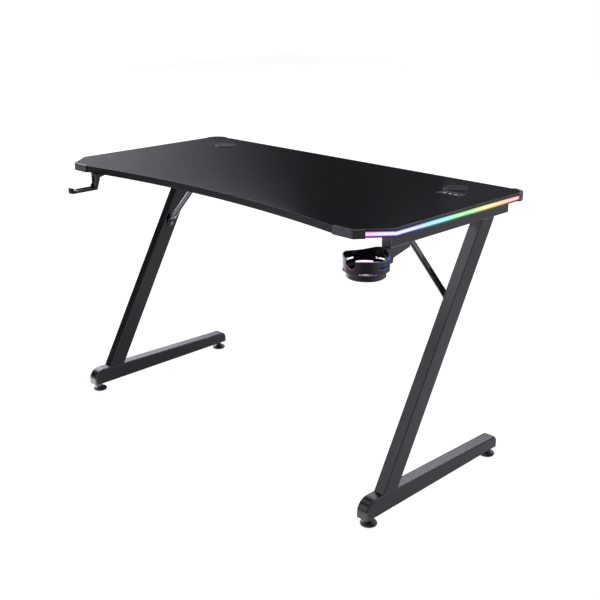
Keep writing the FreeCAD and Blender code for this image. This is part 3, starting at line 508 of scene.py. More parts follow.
@dataclass(frozen=True)
class FramePaint(GlowPaintedBelow):
    """Paint of the frame, with a painted highlight on the round upper edges that face right.

    With s the square of the normal's part to the right, the painted highlight makes an edge lighter by 4 s
    (1 - s).
    """

    # painted highlight: how much lighter the round upper edges that face right are
    round_lift: float = 25.0
    round_facing: Span = (0.0, 0.15)

    def draw(self, graph: Shading) -> None:
        """Link what changes over the paint.

        Args:
            graph: The material's graph.
        """
        normal = graph.geometry("Normal")
        # painted highlight on rounded edges that face right and up, added to the colour below
        aside = graph.math("MAXIMUM", normal["X"], 0.0)
        square = graph.times(aside, aside)
        turned = graph.times(square, graph.math("SUBTRACT", 1.0, square))
        turned = graph.times(turned, graph.ramp(normal["Z"], self.round_facing))
        self.surface(graph, graph.times(turned, 4.0 * self.round_lift))
        self.light_below(graph, normal["Z"])


@dataclass(frozen=True)
class WovenFilm(GlowPaintedBelow):
    """Board skin: woven black film on top, plain band on the edges with a painted edge highlight, and
    backing below with a painted glow.
    """

    pitch: float = 1.0 * MM
    weave_depth: float = 0.005 * MM
    strand_lift: float = 0.5
    strand_polish: float = 0.06
    top_facing: Span = (0.5, 0.7)
    edge_colour: Colour = (0.007, 0.007, 0.008)
    edge_roughness: float = 0.42
    # painted glow of the backing, seen only in glossy reflections
    below_glow: float = 3.0

    def draw(self, graph: Shading) -> None:
        """Link what changes over the film.

        Args:
            graph: The material's graph.
        """
        upward = graph.geometry("True Normal")["Z"]
        top = graph.ramp(upward, self.top_facing)
        weave = graph.group(Effect.TWILL, Vector=graph.place(), Pitch=self.pitch)
        grain, cloud, edge = self.grain(graph), self.cloud(graph), self.edge(graph)
        tone = graph.line(weave["Upper"], self.strand_lift, 1.0 - self.strand_lift / 2)
        skin = graph.shade(self.colour, graph.line(cloud, self.drift, tone))
        # painted highlight: the band is lighter along the edge mask
        band_tone = graph.line(edge["Mask"], self.edge_lift, graph.line(cloud, self.drift, 1.0))
        band = graph.shade(self.edge_colour, band_tone)
        graph.put("Base Color", graph.mix(top, band, skin))
        rough = graph.line(weave["Upper"], -self.strand_polish, self.roughness + self.strand_polish / 2)
        graph.put("Roughness", graph.blend(top, self.edge_roughness, rough))
        # painted glow on the backing's right part
        self.light_below(graph, upward)
        strands = graph.times(weave["Height"], self.weave_depth / self.grain_depth)
        self.relief(graph, graph.blend(top, grain["Height"], strands), edge["Normal"])


@dataclass(frozen=True)
class LitStrip(Finish):
    """Light strip: a pale glowing core whose hue runs along y, with saturated borders."""

    front: float = -0.24
    back: float = 0.3
    middle: float = 0.0
    half_height: float = 7.0 * MM
    pale_range: Span = (0.3, 0.75)
    pale_level: float = 1.2
    border_range: Span = (0.5, 0.9)
    border_level: float = 0.12
    body_share: float = 0.9
    strength: float = 1.0
    cast: float = 12.0

    def hue(self, graph: Graph, y: Socket) -> Outputs:
        """Saturated colour at a place along the strip.

        Args:
            graph: The material's graph.
            y: The place.

        Returns:
            The colour, and its share of white as alpha.
        """
        along = graph.fill(graph.add("MapRange"), y, self.front, self.back)[0]
        ramp = graph.add("ValToRGB")
        elements = ramp.color_ramp.elements
        stops = [(hue.value[:4], at) for hue in Hue for at in hue.value[4:]]
        while len(elements) < len(stops):
            elements.new(0.5)
        for element, (colour, at) in zip(elements, stops):
            element.position = (at - self.front) / (self.back - self.front)
            element.color = colour
        return graph.fill(ramp, along)

    def away(self, graph: Graph, z: Socket) -> Socket:
        """Distance from the middle of the strip's height, 1 at its border."""
        off = graph.math("ABSOLUTE", graph.math("SUBTRACT", z, self.middle))
        return graph.math("DIVIDE", off, self.half_height)

    def draw(self, graph: Shading) -> None:
        """Link what changes over the lit strip.

        Args:
            graph: The material's graph.
        """
        axes = graph.split(graph.place())
        hue, whiteness = self.hue(graph, axes["Y"])
        away = self.away(graph, axes["Z"])
        pale = graph.times(graph.ramp(away, self.pale_range, (self.pale_level, 0.0)), whiteness)
        level = graph.ramp(away, self.border_range, (1.0, self.border_level))
        graph.put("Base Color", graph.mix(self.body_share, hue, self.colour))
        graph.put("Emission Color", graph.mix(level, BLACK, graph.mix(pale, hue, WHITE)))
        seen = graph.add("LightPath").outputs["Is Camera Ray"]
        graph.put("Emission Strength", graph.line(seen, self.strength - self.cast, self.cast))


@dataclass(frozen=True)
class GlowPaintedChannel(LitStrip):
    """Dark channel whose lower lip has a painted glow in the hue of the strip beside it."""

    # painted glow: strength of the strip's light painted on the channel's lower lip
    spill: float = 0.16
    spill_reach: float = 1.6
    spill_end: float = 0.3

    def draw(self, graph: Shading) -> None:
        """Link what changes over the channel.

        Args:
            graph: The material's graph.
        """
        self.surface(graph)
        axes = graph.split(graph.place())
        # painted glow: the strip's light on the lower lip, as emission that fades away from the strip
        near = graph.ramp(self.away(graph, axes["Z"]), (1.0, self.spill_reach), (1.0, self.spill_end))
        near = graph.times(near, graph.math("LESS_THAN", axes["Z"], self.middle))
        graph.put("Emission Color", graph.mix(near, BLACK, self.hue(graph, axes["Y"])[0]))
        graph.put("Emission Strength", self.spill)


@dataclass(frozen=True)
class GlintPaintedRim(Finish):
    """Moulded plastic with painted glints on its upper edges, standing in for the light of the strip above
    it.

    A painted glint lies on an edge where its rounded normal points up and it lies on the outer
    side of the cup. The glint's hue runs from the strip's front colour to its blue along the diagonal.
    """

    centre: Point = (0.0, 0.0, 0.0)
    glint_radius: float = 2.4 * MM
    glint_facing: Span = (0.25, 0.6)
    warm: Colour = (0.42, 0.05, 0.3)
    cold: Colour = (0.01, 0.2, 0.9)
    turning: Span = (12.0 * MM, 26.0 * MM)
    outer: Span = (-12.0 * MM, 6.0 * MM)
    strength: float = 1.0

    def draw(self, graph: Shading) -> None:
        """Link what changes over the cup's plastic and its painted glints.

        Args:
            graph: The material's graph.
        """
        self.surface(graph)
        axes = graph.split(graph.vector("SUBTRACT", graph.place(), self.centre)[0])
        along, outward = (
            graph.times(graph.math(operation, axes["X"], axes["Y"]), math.sqrt(0.5))
            for operation in ("ADD", "SUBTRACT")
        )
        edge = graph.group(Effect.EDGE, Radius=self.glint_radius)
        upward = graph.ramp(graph.split(edge["Normal"])["Z"], self.glint_facing)
        # painted glints: emission on the upward outer edges, standing in for the strip's light
        glint = graph.times(edge["Mask"], upward, graph.ramp(outward, self.outer))
        hue = graph.mix(graph.ramp(along, self.turning), self.warm, self.cold)
        graph.put("Emission Color", graph.mix(glint, BLACK, hue))
        graph.put("Emission Strength", self.strength)


@dataclass(frozen=True)
class Circuit(Finish):
    """Solder mask with lighter copper runs below it, which bend at the board's middle."""

    middle_x: float = 0.479
    run_slope: float = 0.6
    run_pitch: float = 2.4 * MM
    run_border: Span = (0.2, 0.12)
    copper: Colour = (0.06, 0.22, 0.09)

    def draw(self, graph: Shading) -> None:
        """Link what changes over the circuit board.

        Args:
            graph: The material's graph.
        """
        axes = graph.split(graph.place())
        aside = graph.math("ABSOLUTE", graph.math("SUBTRACT", axes["X"], self.middle_x))
        across = graph.math("ADD", axes["Y"], graph.times(aside, self.run_slope))
        phase = graph.math("FRACT", graph.math("DIVIDE", across, self.run_pitch))
        run = graph.ramp(graph.math("ABSOLUTE", graph.math("SUBTRACT", phase, 0.5)), self.run_border)
        graph.put("Base Color", graph.mix(run, self.colour, self.copper))
        self.relief(graph, run, self.edge(graph)["Normal"])


@dataclass(frozen=True)
class LitIcon(Finish):
    """Lit sign on the touch lens, with a slow drift in its brightness."""

    glow: Colour = (0.45, 0.85, 0.9)
    strength: float = 0.4

    def draw(self, graph: Shading) -> None:
        """Link what changes over the lit sign.

        Args:
            graph: The material's graph.
        """
        tone = graph.line(self.cloud(graph), self.drift, 1.0)
        graph.put("Base Color", graph.shade(self.colour, tone))
        graph.put("Emission Color", graph.shade(self.glow, tone))
        graph.put("Emission Strength", self.strength)


class Finishes:
    """Every finish on the desk, each made into one material at its first use."""

    # In every finish the edge lift is a painted highlight along its edges.
    film = WovenFilm(
        "woven_film", (0.009, 0.009, 0.0105), 0.1,
        specular=0.1, drift_scale=5.0, edge_radius=1.5 * MM,
    )
    paint = FramePaint(
        "satin_paint", (0.003, 0.003, 0.0036), 0.27,
        specular=0.34, grain_scale=1300.0, grain_depth=0.0015 * MM, fleck=0.12,
        edge_radius=1.2 * MM, edge_lift=12.0,
    )
    brace = Finish("brace_paint", (0.003, 0.003, 0.0034), 0.14, grain_scale=1300.0, grain_depth=0.01 * MM)
    moulded = Finish(
        "moulded_plastic", (0.012, 0.012, 0.013), 0.28,
        specular=0.25, grain_scale=2400.0, fleck=0.35,
    )
    guard = Finish(
        "guard_plastic", (0.014, 0.014, 0.016), 0.26,
        specular=0.55, grain_scale=2000.0, grain_depth=0.01 * MM, edge_lift=0.6,
    )
    cover = Finish(
        "cover_plastic", (0.018, 0.018, 0.02), 0.17,
        specular=0.1, grain_scale=2000.0, grain_depth=0.004 * MM, edge_lift=3.0,
    )
    bezel = Finish(
        "bezel_plastic", (0.01, 0.01, 0.011), 0.17,
        specular=0.1, edge_radius=2.4 * MM, edge_lift=20.0,
    )
    cap = Finish("cap_plastic", (0.06, 0.06, 0.063), 0.4, specular=0.8, grain_scale=2000.0)
    channel = GlowPaintedChannel("channel_plastic", (0.008, 0.008, 0.009), 0.22, specular=0.1, edge_radius=0.4 * MM)
    cup = GlintPaintedRim(
        "cup_plastic", (0.005, 0.005, 0.0055), 0.22,
        specular=0.4, grain_scale=2400.0, grain_depth=0.008 * MM,
    )
    lens = Finish("lens_gloss", (0.006, 0.006, 0.007), 0.16, grain_depth=0.004 * MM, fleck=0.05, coat=0.3)
    pad = Finish("pad_plastic", (0.008, 0.008, 0.009), 0.33, grain_scale=2600.0, grain_depth=0.002 * MM)
    dark_steel = Finish("dark_steel", (0.2, 0.2, 0.21), 0.3, metallic=0.8, grain_scale=2600.0)
    zinc = Finish("zinc_plate", (0.55, 0.56, 0.58), 0.32, metallic=1.0, grain_scale=2200.0, edge_lift=0.2)
    tape = Finish("tape_white", (0.7, 0.7, 0.68), 0.55, edge_lift=0.1)
    diode = Finish("diode_resin", (0.75, 0.7, 0.45), 0.25, edge_lift=0.1)
    strip = LitStrip("lit_strip", (0.06, 0.06, 0.06), 0.5, specular=0.2)
    circuit = Circuit("circuit_green", (0.012, 0.07, 0.028), 0.35)
    icon = LitIcon("lit_icon", (0.2, 0.3, 0.31), 0.4, drift_scale=150.0)


class Surface:
    """Meshes worked out as whole arrays."""

    @staticmethod
    def tube(rings: Array, closed: bool = False) -> Skin:
        """Skin over a row of rings.

        Point (i, j) of the grid joins (i, j + 1), wrapping round in j. An open row is
        closed by a fan from each end ring to its middle; a closed row wraps round in i.

        Args:
            rings: Points as an array of rings by points by 3.
            closed: Whether the last ring joins the first.

        Returns:
            Vertices and faces.
        """
        rows, columns, _ = rings.shape
        index = np.arange(rows * columns).reshape(rows, columns)
        upper = np.roll(index, -1, axis=0) if closed else index[1:]
        lower = index if closed else index[:-1]
        sides = [lower, np.roll(lower, -1, 1), np.roll(upper, -1, 1), upper]
        faces = np.stack(sides, axis=-1).reshape(-1, 4).tolist()
        vertices = rings.reshape(-1, 3)
        if not closed:
            first, last = rows * columns, rows * columns + 1
            ring, top = index[0], index[-1]
            faces += np.stack([np.full(columns, first), np.roll(ring, -1), ring], axis=-1).tolist()
            faces += np.stack([np.full(columns, last), top, np.roll(top, -1)], axis=-1).tolist()
            vertices = np.concatenate([vertices, [rings[0].mean(0), rings[-1].mean(0)]])
        return vertices, [tuple(face) for face in faces]

    @staticmethod
    def turned(radius: Array, height: Array, centre: Array) -> Array:
        """Rings about an upright axis.

        Ring i, point j lies at angle 2 pi j / n, at radius (i, j) and height i.

        Args:
            radius: Radii as an array of rings by points.
            height: One height for each ring.
            centre: x and y of the axis.

        Returns:
            Points as an array of rings by points by 3.
        """
        angle = np.linspace(0.0, 2.0 * np.pi, radius.shape[1], endpoint=False)
        x = centre[0] + radius * np.cos(angle)
        y = centre[1] + radius * np.sin(angle)
        z = np.broadcast_to(height[:, None], radius.shape)
        return np.stack([x, y, z], axis=-1)

    @staticmethod
    def bar(path: Array, width: float, height: float, closed: bool) -> Array:
        """Rings of a flat bar along a level path.

        Each ring is a rectangle across the path's tangent, standing on the path.

        Args:
            path: Points of the middle of the bar's underside, n by 3.
            width: Width of the bar.
            height: Thickness of the bar.
            closed: Whether the path joins its own start.

        Returns:
            Points as an array of n by 4 by 3.
        """
        if closed:
            tangent = np.roll(path, -1, 0) - np.roll(path, 1, 0)
        else:
            tangent = np.gradient(path, axis=0)
        tangent /= np.linalg.norm(tangent, axis=1, keepdims=True)
        side = np.stack([tangent[:, 1], -tangent[:, 0], np.zeros(len(path))], axis=-1) * width / 2
        up = np.array([0.0, 0.0, height])
        return np.stack([path + side, path + side + up, path - side + up, path - side], axis=1)

    @staticmethod
    def mesh(name: str, parts: list[Skin], sharp: float = 30.0) -> Thing:
        """Object made of one or more skins.

        Args:
            name: Name of the object and its mesh.
            parts: Vertices and faces of each skin.
            sharp: Angle in degrees past which an edge stays sharp.

        Returns:
            The object, linked to the scene.
        """
        vertices = np.concatenate([part[0] for part in parts])
        starts = np.cumsum([0] + [len(part[0]) for part in parts])
        faces = [tuple(i + start for i in face) for (_, skin), start in zip(parts, starts) for face in skin]
        mesh = bpy.data.meshes.new(name)
        mesh.from_pydata(vertices.tolist(), [], faces)
        mesh.polygons.foreach_set("use_smooth", np.ones(len(faces), dtype=bool))
        mesh.set_sharp_from_angle(angle=math.radians(sharp))
        mesh.validate()
        return link(name, mesh)


@dataclass
class SubAssembly:
    """Part of the desk that is built and dressed together."""

    nodes: dict[str, Thing]

    def build(self) -> None:
        """Make the new pieces; a plain sub-assembly has none."""

    def dress(self) -> None:
        """Give every node its material."""
        raise NotImplementedError

    def paint(self, finish: Finish, *names: str) -> None:
        """Put one finish on CAD nodes.

        Args:
            finish: The finish.
            names: Names of the nodes.
        """
        for name in names:
            slots = self.nodes[name].data.materials
            slots.clear()
            slots.append(finish.material)
            LOG.info("dressed %s in %s", name, finish.name)

    def carry(self, piece: Thing, finish: Finish, body: str, slot: str) -> None:
        """Finish a new piece and put it on its body.

        Args:
            piece: The new piece.
            finish: Its finish.
            body: The body it moves with.
            slot: The record's material slot it belongs to; not used.
        """
        piece.data.materials.append(finish.material)
        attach(piece, body)
        LOG.info("built %s on %s", piece.name, body)


@dataclass
class Desktop(SubAssembly):
    """Board, corner guards and cable grommets."""

    def dress(self) -> None:
        """Film on the board, plastic on its guards and grommets."""
        self.paint(Finishes.film, "desktop_board")
        self.paint(Finishes.guard, *("guard_" + corner for corner in Corner))
        for side in Side:
            self.paint(Finishes.cover, "grommet_cover_" + side, "grommet_sleeve_" + side)
        self.paint(Finishes.zinc, "guard_screws")


@dataclass
class LightStrip(SubAssembly):
    """Channel, light tape, diodes and lit diffuser on the right edge."""

    def dress(self) -> None:
        """Glow on the diffuser, centred on its height, a painted glow on the channel's lower lip, and plain
        finishes behind it.
        """
        low, high = box_corners("light_diffuser")
        middle, half = (low[2] + high[2]) / 2, (high[2] - low[2]) / 2
        self.paint(replace(Finishes.strip, middle=middle, half_height=half), "light_diffuser")
        self.paint(replace(Finishes.channel, middle=middle, half_height=half), "light_channel")
        self.paint(Finishes.tape, "light_tape")
        self.paint(Finishes.diode, "light_diodes")


@dataclass
class TouchControl(SubAssembly):
    """Touch panel with three lit signs, and its housing below the board.

    Reaches and the sun's radius are shares of the signs' radius.
    """

    sign_spacing: float = 17.4 * MM
    sign_shift: Point = (1.8 * MM, -6.0 * MM, 0.0)
    sign_radius: float = 3.6 * MM
    stroke: float = 1.1 * MM
    thickness: float = 0.12 * MM
    sink: float = 0.03 * MM
    turn_points: int = 48
    power_start: float = 125.0
    power_sweep: float = 290.0
    stem_reach: Span = (0.25, 1.15)
    stem_points: int = 4
    sun_radius: float = 0.4
    ray_reach: Span = (0.75, 1.15)
    ray_points: int = 3
    rays: int = 8

    def arc(self, centre: Array, radius: float, start: float = 0.0, sweep: float = FULL_TURN) -> Skin:
        """Skin of a stroke along a level arc, which is a ring when it goes all round.

        Args:
            centre: Middle of the arc.
            radius: Its radius.
            start: First angle in degrees.
            sweep: Angle in degrees that it covers.

        Returns:
            Vertices and faces.
        """
        closed = sweep == FULL_TURN
        angle = np.radians(start + np.linspace(0.0, sweep, self.turn_points, endpoint=not closed))
        ring = np.stack([np.cos(angle), np.sin(angle), np.zeros_like(angle)], axis=-1)
        return self.stroke_skin(centre + radius * ring, closed)

    def spoke(self, centre: Array, angle: float, reach: Span, points: int) -> Skin:
        """Skin of a straight stroke away from a centre, at an angle in radians from +X."""
        along = np.linspace(*reach, points)[:, None] * self.sign_radius
        return self.stroke_skin(centre + along * np.array([np.cos(angle), np.sin(angle), 0.0]), False)

    def stroke_skin(self, path: Array, closed: bool) -> Skin:
        """Skin of one stroke of a sign along a path."""
        return Surface.tube(Surface.bar(path, self.stroke, self.thickness, closed), closed)

    def build(self) -> None:
        """Signs on the lens: power, brightness and colour ring."""
        low, high = box_corners("control_lens")
        middle = (low + high) / 2 + np.array(self.sign_shift)
        middle[2] = high[2] - self.sink
        step = np.array([self.sign_spacing, 0.0, 0.0])
        power, colour = middle - step, middle + step
        angles = np.arange(self.rays) * 2.0 * np.pi / self.rays
        signs = {
            "sign_power": [
                self.arc(power, self.sign_radius, self.power_start, self.power_sweep),
                self.spoke(power, np.pi / 2, self.stem_reach, self.stem_points),
            ],
            "sign_light": [self.arc(middle, self.sun_radius * self.sign_radius)]
            + [self.spoke(middle, angle, self.ray_reach, self.ray_points) for angle in angles],
            "sign_colour": [self.arc(colour, self.sign_radius)],
        }
        for name, skins in signs.items():
            self.carry(Surface.mesh(name, skins), Finishes.icon, "desk", "touch_lens")

    def dress(self) -> None:
        """Gloss on the lens, plastic round it and solder mask on the circuit board."""
        self.paint(Finishes.bezel, "control_bezel")
        self.paint(Finishes.lens, "control_lens")
        self.paint(Finishes.moulded, "control_housing", "control_inlet")
        self.paint(Finishes.circuit, "control_board")
        self.paint(Finishes.zinc, "control_screws")


@dataclass
class SideFrames(SubAssembly):
    """Rails, legs, foot rails, braces, cross beam and their fasteners."""

    def dress(self) -> None:
        """Satin paint on the steel, plastic in its open ends and zinc on the fasteners."""
        for side in Side:
            painted = ("top_rail_", "leg_", "foot_rail_", "beam_plate_")
            self.paint(Finishes.paint, *(name + side for name in painted))
            self.paint(Finishes.brace, "brace_" + side)
        self.paint(Finishes.cap, *("rail_cap_" + corner for corner in Corner))
        self.paint(Finishes.paint, "cross_beam")
        self.paint(Finishes.zinc, "weld_nuts", "rail_screws", "foot_nut_plates")
        self.paint(Finishes.dark_steel, "frame_bolts", "brace_screws")


@dataclass
class LevellingFeet(SubAssembly):
    """Swivel pads with round shoulders, and studs with a real thread."""

    turns: int = 48
    edge_round: Point = (16.5 * MM, 5.0 * MM, 4.5 * MM)
    edge_end: float = 60.0
    hub_radius: float = 8.0 * MM
    cove_top: float = 14.5 * MM
    hub_chamfer: float = 0.6 * MM
    socket_floor: float = 8.0 * MM
    socket_ratio: float = 1.01
    outline_steps: int = 14
    stud_radius: float = 4.0 * MM
    thread_depth: float = 0.65 * MM
    pitch: float = 1.25 * MM
    steps_per_turn: int = 8
    hex_gap: float = 0.4 * MM
    hex_seat: float = 0.1 * MM
    hex_across: float = 14.0 * MM
    hex_chamfer: float = 0.8 * MM
    hex_slope: float = 1.4
    pad_sharp: float = 40.0
    stud_sharp: float = 35.0

    def pad_outline(self, top: float) -> Array:
        """Radius and height of the turned pad, from its underside to its socket's bottom.

        The disc's edge is part of an ellipse about a circle. From its end a cubic curve,
        which starts along the ellipse and ends upright, runs in to the hub.

        Args:
            top: Height of the hub's end.

        Returns:
            Points as an array of n by 2.
        """
        inner, reach, rise = self.edge_round
        angle = np.radians(np.linspace(-90.0, self.edge_end, self.outline_steps))
        edge = np.stack([inner + reach * np.cos(angle), rise + rise * np.sin(angle)], axis=-1)
        hub = np.array([self.hub_radius, self.cove_top])
        leave = np.array([-np.sin(angle[-1]), np.cos(angle[-1])]) * np.linalg.norm(hub - edge[-1])
        arrive = np.array([0.0, self.cove_top - edge[-1, 1]])
        t = np.linspace(0.0, 1.0, self.outline_steps)[1:, None]
        cove = edge[-1] * (1.0 + 2.0 * t) * (1.0 - t) ** 2 + leave * t * (1.0 - t) ** 2
        cove += hub * t**2 * (3.0 - 2.0 * t) + arrive * t**2 * (t - 1.0)
        bore = self.stud_radius * self.socket_ratio
        end = [
            [self.hub_radius, top - self.hub_chamfer],
            [self.hub_radius - self.hub_chamfer, top],
            [bore, top],
            [bore, self.socket_floor],
        ]
        return np.concatenate([edge, cove, np.array(end)])

    def hexagon(self, from_end: Array) -> Array:
        """Radius of a chamfered hexagon at each angle.

        The flat's radius is half the width across flats over the cosine of the angle from
        that flat's middle. A cone cuts it at the ends, opening with the distance from them.

        Args:
            from_end: Distance of each ring from the hexagon's nearer end.

        Returns:
            Radii as an array of rings by points.
        """
        angle = np.linspace(0.0, 2.0 * np.pi, self.turns, endpoint=False)
        flat = self.hex_across / 2 / np.cos(np.mod(angle, np.pi / 3) - np.pi / 6)
        cone = self.hex_across / 2 + from_end[:, None] * self.hex_slope
        return np.minimum(flat[None, :], cone)

    def thread(self, height: Array) -> Array:
        """Radius of the screw thread.

        The depth below the crest is a triangle wave of height over pitch less the share of
        a turn, so that the groove climbs one pitch in each turn.

        Args:
            height: Height of each ring.

        Returns:
            Radii as an array of rings by points.
        """
        share = np.arange(self.turns) / self.turns
        phase = np.mod(height[:, None] / self.pitch - share[None, :], 1.0)
        return self.stud_radius - self.thread_depth * np.abs(2.0 * phase - 1.0)

    def stud_skin(self, low: float, high: float, collar: Array, centre: Array) -> Skin:
        """Stud with a plain end, a hexagon and a thread above it.

        Args:
            low: Lowest height.
            high: Highest height.
            collar: Heights of the hexagon's two ends.
            centre: x and y of the stud's axis.

        Returns:
            Vertices and faces.
        """
        plain = np.array([low, collar[0]])
        chamfer = np.array([0.0, self.hex_chamfer])
        hexagon = np.concatenate([collar[0] + chamfer, collar[1] - chamfer[::-1]])
        from_end = np.minimum(hexagon - collar[0], collar[1] - hexagon)
        rows = int((high - collar[1]) / self.pitch * self.steps_per_turn)
        screw = np.linspace(collar[1], high, rows)
        height = np.concatenate([plain, hexagon, screw])
        radius = np.concatenate(
            [np.full((2, self.turns), self.stud_radius), self.hexagon(from_end), self.thread(screw)]
        )
        return Surface.tube(Surface.turned(radius, height, centre))

    def build(self) -> None:
        """A smooth pad and a threaded stud at each corner."""
        rail_under = box_corners("foot_rail_left")[0][2]
        for corner in Corner:
            low, high = box_corners("foot_pad_" + corner)
            centre = (low + high)[:2] / 2
            collar = np.array([high[2] + self.hex_gap, rail_under - self.hex_seat])
            outline = self.pad_outline(high[2])
            radius = np.repeat(outline[:, :1], self.turns, axis=1)
            skin = Surface.tube(Surface.turned(radius, outline[:, 1], centre))
            pad = Surface.mesh("pad_" + corner, [skin], self.pad_sharp)
            self.carry(pad, Finishes.pad, "foot_" + corner, "pad")
            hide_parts("foot_pad_" + corner)
            low, high = box_corners("foot_stud_" + corner)
            skin = self.stud_skin(low[2], high[2], collar, centre)
            stud = Surface.mesh("stud_" + corner, [skin], self.stud_sharp)
            self.carry(stud, Finishes.dark_steel, "stud_" + corner, "zinc")
            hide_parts("foot_stud_" + corner)

    def dress(self) -> None:
        """The CAD pads and studs keep a finish of their own, though they are not shown."""
        for corner in Corner:
            self.paint(Finishes.pad, "foot_pad_" + corner)
            self.paint(Finishes.dark_steel, "foot_stud_" + corner)


@dataclass
class Holders(SubAssembly):
    """Cup holder and headset hook."""

    cup_radius: float = 52.4 * MM

    def dress(self) -> None:
        """Moulded plastic on both, with painted glints about the cup's axis."""
        low, high = box_corners("cup_holder")
        axis = (float(high[0]) - self.cup_radius, float(low[1]) + self.cup_radius, float(low[2]))
        self.paint(replace(Finishes.cup, centre=axis), "cup_holder")
        self.paint(Finishes.moulded, "headset_hook")
        self.paint(Finishes.zinc, "hook_screws")


@dataclass(frozen=True)
class Softbox:
    """Rectangular lamp that faces the middle of the desk.

    Its azimuth is measured from the user's left, -X, towards the back, +Y. Its light may
    fade out towards one side, over a share of its width.
    """

    name: str
    azimuth: float
    elevation: float
    width: float
    height: float
    power: float
    fade: float = 0.0
    fade_power: float = 1.0
    distance: float = 9.0
    target: Point = (0.0, 0.0, 0.45)

    def build(self) -> None:
        """Add the lamp to the scene."""
        light = bpy.data.lights.new(self.name, "AREA")
        light.shape = "RECTANGLE"
        light.size, light.size_y = self.width, self.height
        light.energy = self.power
        light.color = LAMP_TINT
        if self.fade:
            light.use_nodes = True
            graph = Graph(light.node_tree)
            across = graph.geometry("Parametric")["X"]
            faded = graph.math("POWER", graph.ramp(across, (0.0, self.fade)), self.fade_power)
            graph.feed(graph.first("EMISSION").inputs["Strength"], faded)
        lamp = link(self.name, light)
        turn, rise = math.radians(self.azimuth), math.radians(self.elevation)
        level = math.cos(rise)
        away = np.array([-math.cos(turn) * level, math.sin(turn) * level, math.sin(rise)])
        lamp.location = np.array(self.target) + self.distance * away
        lamp.rotation_euler = (math.pi / 2 - rise, 0.0, -math.pi / 2 - turn)


@dataclass(frozen=True)
class FloorPatch:
    """Rectangle of the floor with soft borders, whose mirrored brightness is multiplied by its level: above
    1 a painted light, below 1 a painted shade.
    """

    low: Span
    high: Span
    level: float
    soft: float = 0.15

    def factor(self, graph: Graph, axes: Outputs) -> Socket:
        """Factor of the patch at a place.

        Args:
            graph: The floor's graph.
            axes: X, Y and Z of the place.

        Returns:
            The level inside the patch and 1 outside it.
        """
        borders = [
            graph.ramp(axes[name], ends)
            for name, low, high in zip("XY", self.low, self.high)
            for ends in ((low - self.soft, low + self.soft), (high + self.soft, high - self.soft))
        ]
        return graph.line(graph.times(*borders), self.level - 1.0, 1.0)


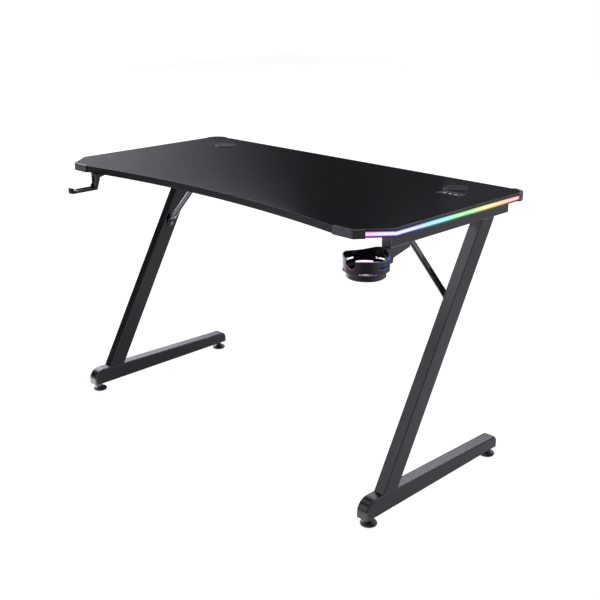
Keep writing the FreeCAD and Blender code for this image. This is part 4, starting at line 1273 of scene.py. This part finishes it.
@dataclass
class Studio:
    """White floor and background, soft lamps and the photo's camera."""

    camera_place: Point = (1.8687, -1.77915, 1.2802)
    camera_pitch: float = 70.921
    camera_yaw: float = 44.567
    camera_lens: float = 57.96
    camera_sensor: float = 36.0
    floor_half: float = 9.0
    floor_drop: float = 0.2 * MM
    floor_colour: Colour = (0.86, 0.86, 0.87)
    floor_share: float = 0.2
    floor_glow: float = 0.94
    floor_mirrored: float = 1.0
    shaded_level: float = 0.2
    shaded_place: Point = (2.1, -2.1, 0.0)
    shaded_reach: Span = (0.8, 2.6)
    # Painted light and shade in the floor's reflections: brighter to the left, darker at the front left, a
    # painted shadow under the desk, darker far behind it, painted bright spots in front of both feet and
    # darker beside the right foot.
    patches: tuple[FloorPatch, ...] = (
        FloorPatch((-9.0, -1.0), (-1.1, 9.0), 2.8, 0.4),
        FloorPatch((-9.0, -9.0), (-2.6, -1.2), 0.45),
        FloorPatch((-0.6, -0.2), (0.6, 0.3), 0.6),
        FloorPatch((-9.0, 1.6), (1.6, 9.0), 0.2),
        FloorPatch((-0.85, -0.6), (-0.45, -0.22), 6.0, 0.04),
        FloorPatch((0.35, -0.6), (0.7, -0.22), 2.8, 0.04),
        FloorPatch((0.56, -0.2), (0.8, 0.6), 0.82, 0.04),
    )
    fill: Colour = (0.12, 0.12, 0.124)
    mirrored_fill: Colour = (0.02, 0.02, 0.021)
    lamps: tuple[Softbox, ...] = (
        Softbox("lamp_left_back", 22.0, 30.0, 8.0, 3.6, 640.0, fade=0.22),
        Softbox("card_left_back", 31.0, 11.0, 5.4, 1.8, 18.0, fade=0.66, fade_power=1.5),
        Softbox("lamp_back", 73.0, 32.0, 6.0, 3.0, 245.0),
        Softbox("lamp_left", -3.0, 35.0, 3.8, 2.8, 50.0),
        Softbox("lamp_front", -57.0, 19.5, 2.0, 6.0, 118.0),
        Softbox("lamp_camera", -157.0, 20.0, 3.0, 2.6, 26.0),
        Softbox("lamp_back_right", 126.0, 33.0, 4.4, 3.2, 130.0),
        Softbox("lamp_left_low", 2.0, 1.5, 6.4, 0.9, 110.0),
        Softbox("lamp_left_high", -14.0, 52.0, 5.0, 2.2, 75.0),
        Softbox("card_back", 65.0, 12.0, 2.4, 1.6, 0.75),
        Softbox("lamp_top", -70.0, 68.0, 5.0, 4.0, 70.0),
        Softbox("lamp_front_high", -108.0, 42.0, 5.0, 2.6, 55.0),
    )

    def build(self) -> None:
        """Floor, background, lamps and camera."""
        self.floor()
        self.background()
        for lamp in self.lamps:
            lamp.build()
        self.camera()
        bpy.context.scene.view_settings.view_transform = "Standard"

    def floor(self) -> None:
        """Level square that is white to the camera and keeps a faint shadow."""
        half, z = self.floor_half, -self.floor_drop
        corners = np.array([[-half, -half, z], [half, -half, z], [half, half, z], [-half, half, z]])
        floor = Surface.mesh("floor", [(corners, [(0, 1, 2, 3)])])
        graph = Shading("floor_white")
        graph.tree.nodes.clear()
        floor.data.materials.append(graph.material)
        path = graph.add("LightPath").outputs
        mirrored = graph.math("MAXIMUM", path["Is Glossy Ray"], path["Is Transmission Ray"])
        seen = graph.math("MAXIMUM", path["Is Camera Ray"], mirrored)
        dim = tuple(self.floor_share * part for part in self.floor_colour)
        matt = graph.fill(graph.add("BsdfDiffuse"), graph.mix(seen, self.floor_colour, dim))
        direct = graph.times(path["Is Camera Ray"], self.floor_glow)
        # painted shade and light in what glossy surfaces mirror: darker towards the camera, times the
        # patches
        away = graph.vector("DISTANCE", graph.place(), self.shaded_place)["Value"]
        bright = graph.ramp(away, self.shaded_reach, (self.shaded_level, self.floor_mirrored))
        axes = graph.split(graph.place())
        bright = graph.times(bright, *(patch.factor(graph, axes) for patch in self.patches))
        tint = graph.mix(mirrored, WHITE, LAMP_TINT)
        glow = graph.fill(graph.add("Emission"), tint, graph.line(mirrored, bright, direct))
        both = graph.fill(graph.add("AddShader"), matt[0], glow[0])
        graph.fill(graph.add("OutputMaterial"), both[0])

    def background(self) -> None:
        """World that is white to the camera and an even grey fill to the object."""
        world = bpy.data.worlds.new("studio")
        world.use_nodes = True
        graph = Graph(world.node_tree)
        graph.tree.nodes.clear()
        path = graph.add("LightPath").outputs
        dim = graph.mix(path["Is Glossy Ray"], self.fill, self.mirrored_fill)
        light = graph.fill(graph.add("Background"), graph.mix(path["Is Camera Ray"], dim, WHITE))
        graph.fill(graph.add("OutputWorld"), light[0])
        bpy.context.scene.world = world

    def camera(self) -> None:
        """Camera at the photo's place and angle."""
        data = bpy.data.cameras.new("camera")
        data.sensor_width = self.camera_sensor
        data.lens = self.camera_lens
        camera = link("camera", data)
        camera.location = self.camera_place
        camera.rotation_euler = (math.radians(self.camera_pitch), 0.0, math.radians(self.camera_yaw))
        bpy.context.scene.camera = camera


def main() -> None:
    """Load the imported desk, dress its sub-assemblies in order and set up the studio."""
    logging.basicConfig(level=logging.INFO, format="%(name)s: %(message)s")
    for thing in list(bpy.data.objects):
        bpy.data.objects.remove(thing)
    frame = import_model()
    kinds = (Desktop, LightStrip, TouchControl, SideFrames, LevellingFeet, Holders)
    for kind in kinds:
        part = kind(frame["nodes"])
        part.build()
        part.dress()
        LOG.info("finished %s", kind.__name__)
    Studio().build()


if __name__ == "__main__":
    main()
